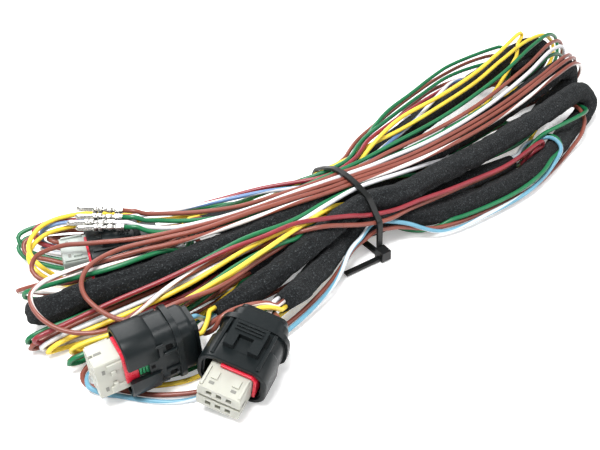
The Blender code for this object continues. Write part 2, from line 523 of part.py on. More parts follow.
def all_wires():
    wires = dict(WIRES)
    for connector, (tape, colours) in SHORT_WIRES.items():
        for cavity, colour in enumerate(colours):
            start = ("tape", tape, SHORT_WIRE_SLOTS[cavity])
            end = ("cavity", connector, cavity)
            wires["wire_%s_%d" % (connector, cavity + 1)] = (colour, start, (), end)
    return wires


def head_box():
    length, depth, height = HEAD_SIZE
    side = STRAP_SIDE - STRAP_THICKNESS + HEAD_JOINT
    return (-0.5 * length, side - depth, HEAD_HEIGHT), (0.5 * length, side, HEAD_HEIGHT + height)


def tail_box():
    low, high = head_box()
    middle = 0.5 * (low[1] + high[1])
    return ((low[0] - TAIL_LENGTH, middle - 0.5 * STRAP_WIDTH, TAIL_HEIGHT),
            (low[0] + 1.0, middle + 0.5 * STRAP_WIDTH, TAIL_HEIGHT + STRAP_THICKNESS))


def box_block(low, high):
    low, high = np.array(low, float), np.array(high, float)
    return 0.5 * (low + high), np.eye(3), 0.5 * (high - low)


def connector_block(name):
    """The space of a connector, as a box that the loose wires keep clear of."""
    frame = connector_frame(name)
    back, front = -REAR_LENGTH - 0.5, SHELL_LENGTH + CARRIER_PROUD
    middle = frame @ Vector((0.5 * (back + front), 0.0, 0.0))
    half = (0.5 * (front - back), 0.5 * SHELL_WIDTH + FLANGE_LIP, 0.5 * SHELL_HEIGHT + FLANGE_LIP)
    return np.array(middle), np.array(frame.to_3x3()), np.array(half)


def pin_block(index):
    end, along = pin_end(index)
    side = Vector((0.0, 0.0, 1.0)).cross(along).normalized()
    axes = Matrix((along, side, along.cross(side))).transposed()
    thickest = max(max(width, height) for _, width, height in PIN_PROFILE)
    half = np.array((0.5 * PIN_LENGTH, thickest, thickest))
    return np.array(end - along * 0.5 * PIN_LENGTH), np.array(axes), half


def laid_out():
    """The spread strands, by name."""
    wires = all_wires()
    names = list(TRUNKS) + list(wires)
    strands, joins = [], []
    for name, (diameter, points) in TRUNKS.items():
        strands.append((smooth_curve(points, TRUNK_STEP), 0.5 * diameter, 2, TRUNK_GIVE))
    for name, (_, start, points, end) in wires.items():
        lead = WIRE_STEP if points else SHORT_LEAD
        route = end_points(start, lead) + [tuple(p) for p in points] + end_points(end, lead)[::-1]
        strands.append((smooth_curve(route, WIRE_STEP), 0.5 * WIRE_DIAMETER, 2, 1.0))
        for which, place in ((0, start), (1, end)):
            if place[0] == "tape":
                run, run_end = TAPE_ENDS[place[1]]
                joins.append((names.index(run), 0 if run_end == 0 else 1, names.index(name), which))
    blocks = [connector_block(connector) for connector in CONNECTORS]
    blocks += [pin_block(index) for index in range(len(PINS))]
    blocks += [box_block(*head_box()), box_block(*tail_box())]
    return dict(zip(names, spread(strands, blocks, joins)))


# Strands as objects

def tube(name, points, diameter, sides, slot, roughness):
    curve = bpy.data.curves.new(name, "CURVE")
    curve.dimensions = "3D"
    curve.bevel_depth = 0.5 * diameter * MM
    curve.bevel_resolution = sides
    curve.use_fill_caps = True
    spline = curve.splines.new("POLY")
    spline.points.add(len(points) - 1)
    for point, place in zip(spline.points, points):
        point.co = (*(float(v) * MM for v in place), 1.0)
    curve.materials.append(material(slot, roughness))
    made = bpy.data.objects.new(name, curve)
    bpy.context.scene.collection.objects.link(made)
    return made


# Solids from outlines

def rounded_outline(width, height, corner, arc=4):
    """A rounded rectangle in the y z plane, anticlockwise seen from +x."""
    corner = min(corner, 0.49 * width, 0.49 * height)
    outline = []
    for quarter, (sy, sz) in enumerate(((1, 1), (-1, 1), (-1, -1), (1, -1))):
        cy, cz = sy * (0.5 * width - corner), sz * (0.5 * height - corner)
        for k in range(arc + 1):
            angle = math.radians(90.0 * quarter + 90.0 * k / arc)
            outline.append((cy + corner * math.cos(angle), cz + corner * math.sin(angle)))
    return outline


def add_loft(bm, sections):
    """Joins outlines of equal length, given as (x, outline), into one closed body."""
    rings = [[bm.verts.new((x, y, z)) for y, z in outline] for x, outline in sections]
    for ring, after in zip(rings, rings[1:]):
        for k in range(len(ring)):
            n = (k + 1) % len(ring)
            bm.faces.new((ring[k], after[k], after[n], ring[n])[::-1])
    bm.faces.new(rings[0][::-1])
    bm.faces.new(rings[-1])


def add_bar(bm, x0, x1, outline):
    add_loft(bm, ((x0, outline), (x1, outline)))


def add_block(bm, low, high):
    (x0, y0, z0), (x1, y1, z1) = low, high
    add_bar(bm, x0, x1, ((y1, z0), (y1, z1), (y0, z1), (y0, z0)))


def solid(name, build, slot=None, roughness=0.45, metallic=0.0):
    """An object from a function that fills a bmesh, in millimetres."""
    bm = bmesh.new()
    build(bm)
    bmesh.ops.recalc_face_normals(bm, faces=bm.faces)
    mesh = bpy.data.meshes.new(name)
    bm.to_mesh(mesh)
    bm.free()
    if slot:
        mesh.materials.append(material(slot, roughness, metallic))
    made = bpy.data.objects.new(name, mesh)
    bpy.context.scene.collection.objects.link(made)
    return made


def combine(base, build, operation):
    """Joins or cuts the base with the bodies that the function makes, one after the other."""
    for part in build:
        tool = solid(base.name + "_tool", part)
        modifier = base.modifiers.new("combine", "BOOLEAN")
        modifier.operation = operation
        modifier.object = tool
        shape = bpy.data.meshes.new_from_object(base.evaluated_get(bpy.context.evaluated_depsgraph_get()))
        base.modifiers.clear()
        base.data = shape
        bpy.data.objects.remove(tool, do_unlink=True)


def finish(made, frame):
    """Scales a solid to metres, sets it in its place and shades it."""
    made.data.transform(Matrix.Scale(MM, 4))
    made.location = frame.to_translation() * MM
    made.rotation_euler = frame.to_euler()
    made.data.shade_smooth()
    made.data.set_sharp_from_angle(angle=math.radians(SHARP_ANGLE))


# Connector pieces, each in the connector's own frame

def bar_maker(x0, x1, width, height, corner, arc=4):
    return lambda bm: add_bar(bm, x0, x1, rounded_outline(width, height, corner, arc))


def block_maker(low, high):
    return lambda bm: add_block(bm, low, high)


def cavity_size():
    """Width, height and corner of the hollow that the carrier and its seal stand in."""
    width, height = SHELL_WIDTH - 2 * SHELL_WALL_SIDE, SHELL_HEIGHT - 2 * SHELL_WALL_TOP
    return width, height, SHELL_CORNER - SHELL_WALL_SIDE


def carrier_size():
    width, height, _ = cavity_size()
    return width - 2 * CARRIER_ROOM_SIDE, height - 2 * CARRIER_ROOM_TOP


def make_housing(name, frame):
    width, height, corner = cavity_size()
    made = solid(name, bar_maker(0.0, SHELL_LENGTH, SHELL_WIDTH, SHELL_HEIGHT, SHELL_CORNER), "housing", 0.5)
    half_flange = 0.5 * FLANGE_THICKNESS
    flange = bar_maker(-half_flange, half_flange, SHELL_WIDTH + 2 * FLANGE_LIP,
                       SHELL_HEIGHT + 2 * FLANGE_LIP, SHELL_CORNER + FLANGE_LIP)
    rear = bar_maker(-REAR_LENGTH, 0.5 * SHELL_FLOOR, REAR_WIDTH, REAR_HEIGHT, REAR_CORNER)
    top = 0.5 * SHELL_HEIGHT
    latch = block_maker((LATCH_START, -0.5 * LATCH_WIDTH, top - 2.0),
                        (LATCH_START + LATCH_LENGTH, 0.5 * LATCH_WIDTH, top + LATCH_HEIGHT))
    combine(made, (flange, rear, latch), "UNION")
    cavity = bar_maker(SHELL_FLOOR, SHELL_LENGTH + 1.0, width, height, corner)
    mat_width, mat_height = REAR_WIDTH - 2 * REAR_WALL, REAR_HEIGHT - 2 * REAR_WALL
    recess = bar_maker(-REAR_LENGTH - 1.0, -REAR_LENGTH + MAT_DEPTH, mat_width, mat_height,
                       REAR_CORNER - 1.0)
    slot = block_maker((LATCH_START + 0.5 * LATCH_LENGTH, -0.5 * LATCH_SLOT, top + LATCH_FLOOR),
                       (LATCH_START + LATCH_LENGTH + 1.0, 0.5 * LATCH_SLOT, top + LATCH_HEIGHT + 1.0))
    window = block_maker((SHELL_LENGTH - WINDOW_LENGTH, -0.5 * WINDOW_WIDTH, -top - 1.0),
                         (SHELL_LENGTH + 1.0, 0.5 * WINDOW_WIDTH, 0.0))
    pockets = [block_maker((POCKET_PLACE[0], side * POCKET_PLACE[1] - 0.5 * POCKET_SIZE, -top - 1.0),
                           (POCKET_PLACE[0] + POCKET_SIZE, side * POCKET_PLACE[1] + 0.5 * POCKET_SIZE,
                            -top + POCKET_DEPTH))
               for side in (-1, 1)]
    combine(made, (cavity, recess, slot, window, *pockets), "DIFFERENCE")
    finish(made, frame)


def make_carrier(name, frame, slot):
    tip = SHELL_LENGTH + CARRIER_PROUD
    wide, high = carrier_size()
    half_width, half_height = 0.5 * wide, 0.5 * high
    back = SHELL_FLOOR + FIT_GAP
    made = solid(name, bar_maker(back, tip, wide, high, CARRIER_CORNER, 2), slot, 0.4)
    length, across, rise = CATCH_SIZE
    start = tip - CATCH_SETBACK
    catches = [block_maker((start, place - 0.5 * across, half_height - 0.5),
                           (start + length, place + 0.5 * across, half_height + rise))
               for place in (-0.25 * wide, 0.25 * wide)]
    combine(made, catches, "UNION")
    half_groove = 0.5 * GROOVE_WIDTH
    groove = block_maker((tip - GROOVE_DEPTH, -half_width - 1.0, -half_groove),
                         (tip + 1.0, half_width + 1.0, half_groove))
    half_opening = 0.5 * OPENING_SIZE
    level = 0.25 * high + 0.25 * GROOVE_WIDTH
    openings = [block_maker((tip - OPENING_DEPTH, place - half_opening, side * level - half_opening),
                            (tip + 1.0, place + half_opening, side * level + half_opening))
                for side in (-1, 1) for place in (-OPENING_PITCH, 0.0, OPENING_PITCH)]
    combine(made, (groove, *openings), "DIFFERENCE")
    finish(made, frame)


def make_lock(name, frame, long_side):
    """An angled band at the shell's rim, along one long side (+1 top, -1 underside) and one short side."""
    wide, high = carrier_size()
    inner_y, inner_z = 0.5 * wide + FIT_GAP, 0.5 * high + FIT_GAP
    outer_y, outer_z = inner_y + LOCK_THICKNESS, inner_z + LOCK_THICKNESS
    low = LOCK_CORNER - inner_z
    inner_corner = LOCK_CORNER - LOCK_THICKNESS
    outline = ((outer_y, low), (outer_y, outer_z - LOCK_CORNER), (outer_y - LOCK_CORNER, outer_z),
               (-0.5 * inner_y, outer_z), (-0.5 * inner_y, inner_z), (inner_y - inner_corner, inner_z),
               (inner_y, inner_z - inner_corner), (inner_y, low))
    outline = [(y, long_side * z) for y, z in outline]
    front = SHELL_LENGTH + LOCK_PROUD
    made = solid(name, lambda bm: add_bar(bm, front - LOCK_LENGTH, front, outline), "lock", 0.35)
    finish(made, frame)


def make_ring(name, frame):
    """The radial seal: three ridges round the carrier, inside the shell."""
    width, height, corner = cavity_size()
    start = SHELL_FLOOR + FIT_GAP
    outer = (width - 2 * FIT_GAP, height - 2 * FIT_GAP, corner - FIT_GAP)
    pitch = RING_LENGTH / 6.0
    sections = []
    for k in range(7):
        drop = 0.0 if k % 2 else RING_RIDGE
        outline = rounded_outline(outer[0] - 2 * drop, outer[1] - 2 * drop, outer[2], 3)
        sections.append((start + k * pitch, outline))
    made = solid(name, lambda bm: add_loft(bm, sections), "seal", 0.5)
    wide, high = carrier_size()
    hole = bar_maker(start - 1.0, start + RING_LENGTH + 1.0, wide + 2 * FIT_GAP, high + 2 * FIT_GAP,
                     CARRIER_CORNER + FIT_GAP, 2)
    combine(made, (hole,), "DIFFERENCE")
    finish(made, frame)


def make_mat(name, frame):
    width = REAR_WIDTH - 2 * REAR_WALL - 2 * FIT_GAP
    height = REAR_HEIGHT - 2 * REAR_WALL - 2 * FIT_GAP
    seat = -REAR_LENGTH + MAT_DEPTH - FIT_GAP
    corner = REAR_CORNER - 1.0 - FIT_GAP
    made = solid(name, bar_maker(seat - MAT_THICKNESS, seat, width, height, corner), "mat", 0.6)
    finish(made, frame)


def make_cover(name, frame):
    """A collar pushed over the rear body, behind the flange."""
    inner = (REAR_WIDTH + 2 * FIT_GAP, REAR_HEIGHT + 2 * FIT_GAP, REAR_CORNER + FIT_GAP)
    front = -0.5 * FLANGE_THICKNESS - FIT_GAP
    back = front - COVER_LENGTH
    wide = (inner[0] + 2 * COVER_WALL, inner[1] + 2 * COVER_WALL, inner[2] + COVER_WALL)
    slim = (wide[0] - 1.2, wide[1] - 1.2, wide[2])
    sections = ((back, rounded_outline(*slim)), (back + COVER_TAPER, rounded_outline(*wide)),
                (front, rounded_outline(*wide)))
    made = solid(name, lambda bm: add_loft(bm, sections), "housing", 0.55)
    combine(made, (bar_maker(back - 1.0, front + 1.0, *inner),), "DIFFERENCE")
    finish(made, frame)


def make_connectors():
    for name, place in CONNECTORS.items():
        frame = connector_frame(name)
        make_housing(name + "_housing", frame)
        make_carrier(name + "_carrier", frame, "carrier_grey" if name == "connector_3" else "carrier")
        make_lock(name + "_lock", frame, LOCK_SIDES[name])
        make_ring(name + "_seal_ring", frame)
        make_mat(name + "_wire_seal", frame)
        if place[4]:
            make_cover(name + "_rear_cover", frame)


def make_pins():
    """Crimped terminals, each a lofted body from its round tip to the crimp that holds the wire."""
    for index, (tip, crimp) in enumerate(PINS):
        along = (Vector(crimp) - Vector(tip)).normalized()
        frame = Matrix.Translation(Vector(tip)) @ along.to_track_quat("X", "Z").to_matrix().to_4x4()
        sections = []
        for x, half_y, half_z in PIN_PROFILE:
            turns = [math.radians(360.0 * k / PIN_SIDES) for k in range(PIN_SIDES)]
            sections.append((x, [(half_y * math.cos(a), half_z * math.sin(a)) for a in turns]))
        made = solid("pin_terminal_%d" % (index + 1), lambda bm: add_loft(bm, sections), "metal", 0.25, 1.0)
        finish(made, frame)


# Cable tie

def hull(points):
    """Convex outline round points in a plane, anticlockwise."""
    points = sorted(set((round(y, 4), round(z, 4)) for y, z in points))

    def chain(ordered):
        kept = []
        for p in ordered:
            while len(kept) > 1:
                (ay, az), (by, bz) = kept[-2], kept[-1]
                if (by - ay) * (p[1] - az) - (bz - az) * (p[0] - ay) > 0:
                    break
                kept.pop()
            kept.append(p)
        return kept[:-1]
    return chain(points) + chain(points[::-1])


def make_tie(strands):
    """The strap follows the bundle's own section, and its underside is flat on the table."""
    reach = 0.5 * STRAP_WIDTH + 1.0
    inside, outside = [], []
    for points, radius in strands:
        fine = smooth_curve(points, 1.0)
        for x, y, z in fine[np.abs(fine[:, 0]) < reach]:
            for k in range(16):
                angle = math.radians(22.5 * k)
                for ring, gap in ((inside, STRAP_GAP), (outside, STRAP_GAP + STRAP_THICKNESS)):
                    size = (radius + gap) / math.cos(math.radians(11.25))
                    ring.append((y + size * math.cos(angle), z + size * math.sin(angle)))
    inside = [(y, max(z, STRAP_THICKNESS)) for y, z in inside]
    outside = [(y, max(z, 0.0)) for y, z in outside] + [(TIE_FOOT[0], 0.0), (TIE_FOOT[1], 0.0)]
    inside += [(STRAP_SIDE, HEAD_HEIGHT + STRAP_THICKNESS), (STRAP_SIDE, HEAD_HEIGHT + HEAD_SIZE[2])]
    outer_side = STRAP_SIDE - STRAP_THICKNESS
    outside += [(outer_side, HEAD_HEIGHT), (outer_side, HEAD_HEIGHT + HEAD_SIZE[2] + STRAP_THICKNESS)]
    half = 0.5 * STRAP_WIDTH
    made = solid("cable_tie", lambda bm: add_bar(bm, -half, half, hull(outside)), "tie", 0.45)
    combine(made, (lambda bm: add_bar(bm, -half - 1.0, half + 1.0, hull(inside)),), "DIFFERENCE")
    (head_low, head_high), (tail_low, tail_high) = head_box(), tail_box()
    head, tail = block_maker(head_low, head_high), block_maker(tail_low, tail_high)
    combine(made, (head, tail), "UNION")
    finish(made, Matrix.Identity(4))


def make_part():
    clear_scene()
    layout = laid_out()
    for name, (diameter, _) in TRUNKS.items():
        tube(name, thin_out(layout[name], THIN_TRUNK), diameter, TRUNK_SIDES, "fleece", 0.95)
    for name, (colour, *_) in all_wires().items():
        tube(name, thin_out(layout[name], THIN_WIRE), WIRE_DIAMETER, WIRE_SIDES, colour, 0.35)
    make_connectors()
    make_pins()
    sizes = {name: 0.5 * value[0] for name, value in TRUNKS.items()}
    make_tie([(points, sizes.get(name, 0.5 * WIRE_DIAMETER)) for name, points in layout.items()])


make_part()
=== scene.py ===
# Looks of a vehicle wiring harness, wound into a hank and held by one cable tie.
# The strands' routes and the way they are spread apart repeat the part's source, in millimetres.
import json
import math

import bpy
import numpy as np
from mathutils import Matrix, Vector

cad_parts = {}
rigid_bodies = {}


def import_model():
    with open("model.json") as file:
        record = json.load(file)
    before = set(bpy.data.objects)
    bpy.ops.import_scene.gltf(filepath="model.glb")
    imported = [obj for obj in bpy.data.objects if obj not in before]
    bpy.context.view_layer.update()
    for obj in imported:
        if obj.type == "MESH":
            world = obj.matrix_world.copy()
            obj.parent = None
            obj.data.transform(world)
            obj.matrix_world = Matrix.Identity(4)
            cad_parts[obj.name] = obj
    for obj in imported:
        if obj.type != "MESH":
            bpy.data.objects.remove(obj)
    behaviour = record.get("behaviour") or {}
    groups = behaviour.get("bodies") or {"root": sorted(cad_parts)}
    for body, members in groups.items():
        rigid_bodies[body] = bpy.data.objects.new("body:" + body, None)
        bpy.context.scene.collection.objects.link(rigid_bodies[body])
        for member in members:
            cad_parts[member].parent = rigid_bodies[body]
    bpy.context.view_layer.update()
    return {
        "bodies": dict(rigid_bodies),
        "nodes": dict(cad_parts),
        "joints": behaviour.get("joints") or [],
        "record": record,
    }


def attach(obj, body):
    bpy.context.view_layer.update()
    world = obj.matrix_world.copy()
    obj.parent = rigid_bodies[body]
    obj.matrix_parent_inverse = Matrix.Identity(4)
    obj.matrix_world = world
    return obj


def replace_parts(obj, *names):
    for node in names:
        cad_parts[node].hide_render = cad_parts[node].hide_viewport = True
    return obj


MM = 0.001

# Wires and taped runs
WIRE_DIAMETER = 2.0
WIRE_STEP = 5.0            # spacing of the points that are spread apart
TRUNK_STEP = 6.0
CURVE_SAMPLES = 24         # samples of a smooth curve between two of its points
SPREAD_GAP = 0.5           # gap that the spreading aims for between neighbours
SPREAD_ROUNDS = 200
TRUNK_GIVE = 0.15          # how readily a taped run gives way, beside 1 for a wire
SETTLE_ROUNDS = 70         # last rounds, in which the strands are hardly smoothed
PAIRS_EVERY = 10           # rounds from one search for neighbours to the next
PAIR_REACH = 3.0           # how much farther apart than the gap that search looks
NEXT_ALONG = 5             # segments of one strand nearer in number than this never push each other
FOLD_REACH = 3.4           # nor do those nearer along it than this times their radii
LEAST_GIVE = 0.35          # keeps a push small where a pair can hardly move
DRIVE = 1.2                # share of the wanted shift that a round makes
SMOOTHING = (3, 0.25)      # passes in a round and their strength
SETTLED = (1, 0.04)        # the same in the last rounds
STRAP_RAMP = 8.0           # how far along x the strap lifts the strands
BUNDLE_PITCH = 2.5         # wires side by side where they enter a tape end
FIT_GAP = 0.3              # gap between touching pieces
TABLE_GAP = 0.25           # strands stay this far above the table

# Cable tie
STRAP_WIDTH = 2.6
STRAP_THICKNESS = 1.2
STRAP_GAP = 0.35
TIE_HALF_WIDTH = 24.6      # half of the oval inside the strap, across
TIE_HALF_HEIGHT = 13.6
TIE_REACH = 9.0            # how far along x the tie squeezes the bundle
STRAP_SIDE = -23.4         # inner face of the strap on the near side, where it enters the head
HEAD_SIZE = (4.8, 5.4, 4.8)
HEAD_HEIGHT = 0.8          # underside of the head above the table
HEAD_JOINT = 0.6           # how far the head reaches into the strap
TAIL_LENGTH = 18.0
TAIL_HEIGHT = 0.8

# Connector, in its own frame: x towards the mating side, y across its broad side, z through the latch
SHELL_WIDTH = 26.0
SHELL_HEIGHT = 17.6
SHELL_LENGTH = 20.0
SHELL_CORNER = 6.0
SHELL_WALL_SIDE = 1.6
SHELL_WALL_TOP = 1.1
FLANGE_LIP = 1.3
REAR_LENGTH = 9.0
MAT_DEPTH = 4.0            # depth of the recess that holds the wire seal mat
MAT_THICKNESS = 2.8
LATCH_HEIGHT = 3.6
WINDOW_LENGTH = 7.4
WINDOW_WIDTH = 6.4
CARRIER_ROOM_SIDE = 2.7    # between the carrier and the wall of the cavity, on the short sides
CARRIER_ROOM_TOP = 1.8     # and on the long sides
CARRIER_PROUD = 12.0       # how far the carrier stands out of the shell
CAVITY_SPACING = (4.6, 2.6)
WIRES_IN_RING = 6          # wires round the middle one of a bundle

# Crimped terminal, along x from its tip
PIN_LENGTH = 20.0
PIN_PROFILE = ((0.0, 0.45, 0.45), (0.5, 0.95, 0.95), (1.2, 1.15, 1.15), (7.0, 1.15, 1.15), (7.6, 1.5, 1.3),
               (8.4, 1.6, 1.45), (11.8, 1.6, 1.45), (12.4, 1.0, 0.8), (13.2, 1.25, 1.1), (15.6, 1.25, 1.1),
               (16.4, 0.9, 0.8), (17.2, 1.5, 1.45), (19.4, 1.5, 1.45), (PIN_LENGTH, 1.35, 1.3))

# Place of each connector: centre of its flange, yaw, pitch and roll in degrees, rear cover or not
CONNECTORS = {
    "connector_1": ((-109.5, -35.0, 18.2), 174.0, 4.0, 90.0, True),
    "connector_2": ((-81.2, -48.5, 14.2), 212.0, 7.0, -10.0, True),
    "connector_3": ((-91.0, 27.5, 13.4), 163.0, 0.0, 0.0, False),
}
PINS = (((-107.9, 48.2, 28.6), (-92.4, 35.5, 28.6)), ((-110.6, 44, 28), (-94.4, 32.2, 28)),
        ((-115.3, 41.9, 28), (-98.7, 30.7, 28)), ((-113.9, 36.3, 28.2), (-97.1, 25.4, 28.2)))

# Taped runs: diameter and points from end to end
TRUNKS = {
    "trunk_far": (11.0, (
        (-60, 26, 12), (-50, 23, 12), (-36, 20, 12), (-18, 18, 13), (0, 16, 14), (28, 21, 14),
        (58, 28, 16), (90, 35, 18), (121, 42, 20), (147, 48, 21), (162, 50, 20.5), (171, 51, 17),
        (174, 51, 12), (170, 51, 7.5), (161, 50, 6), (148, 49, 6))),
    "trunk_main": (11.0, (
        (104, 28, 6), (85, 24, 6), (45, 15, 6), (0, 9, 7), (-40, 9, 6), (-80, 6, 6), (-100, 9, 6),
        (-116, 14, 6), (-129, 17, 6), (-138, 18, 8), (-143, 16, 12), (-141, 12, 15), (-135, 10, 16),
        (-127, 10, 16), (-116, 8, 16), (-99, 5, 17), (-78, 1, 19), (-57, -1, 20), (-32, -1, 21),
        (0, 1, 21), (31, 2, 20), (66, 6, 20), (105, 12, 20), (138, 19, 20.5), (156, 24, 20),
        (166, 26, 17), (169, 26, 12), (166, 24, 7.5), (158, 21, 6), (146, 17, 6), (134, 13, 6))),
    "trunk_near": (10.4, (
        (-85, -28, 14), (-71, -26, 14), (-47, -22, 15), (-28, -18, 16), (0, -12, 18.5), (18, -14, 18),
        (45, -11, 18), (72, -9, 18), (102, -5, 19), (132, 0, 20), (146, 3, 19.5), (154, 4, 16),
        (157, 3, 11), (153, 1, 7), (145, -2, 6), (134, -6, 6), (117, -13, 6), (101, -18, 6),
        (82, -22, 6), (60, -23, 6), (36, -22, 6), (18, -19, 8), (0, -15, 10), (-20, -20, 10),
        (-37, -27, 10), (-50, -33, 11), (-61, -37, 13))),
    "trunk_low": (10.4, (
        (-58, -8, 6), (-42, -7, 6), (-20, -6, 6), (0, -5, 7), (20, -7, 6), (45, -10, 6), (72, -11, 6),
        (92, -11, 6))),
}
TAPE_ENDS = {
    "far_left": ("trunk_far", 0), "far_right": ("trunk_far", -1),
    "main_right": ("trunk_main", 0), "main_top": ("trunk_main", -1),
    "near_connector": ("trunk_near", 0), "low_connector": ("trunk_near", -1),
    "low_left": ("trunk_low", 0), "low_right": ("trunk_low", -1),
}
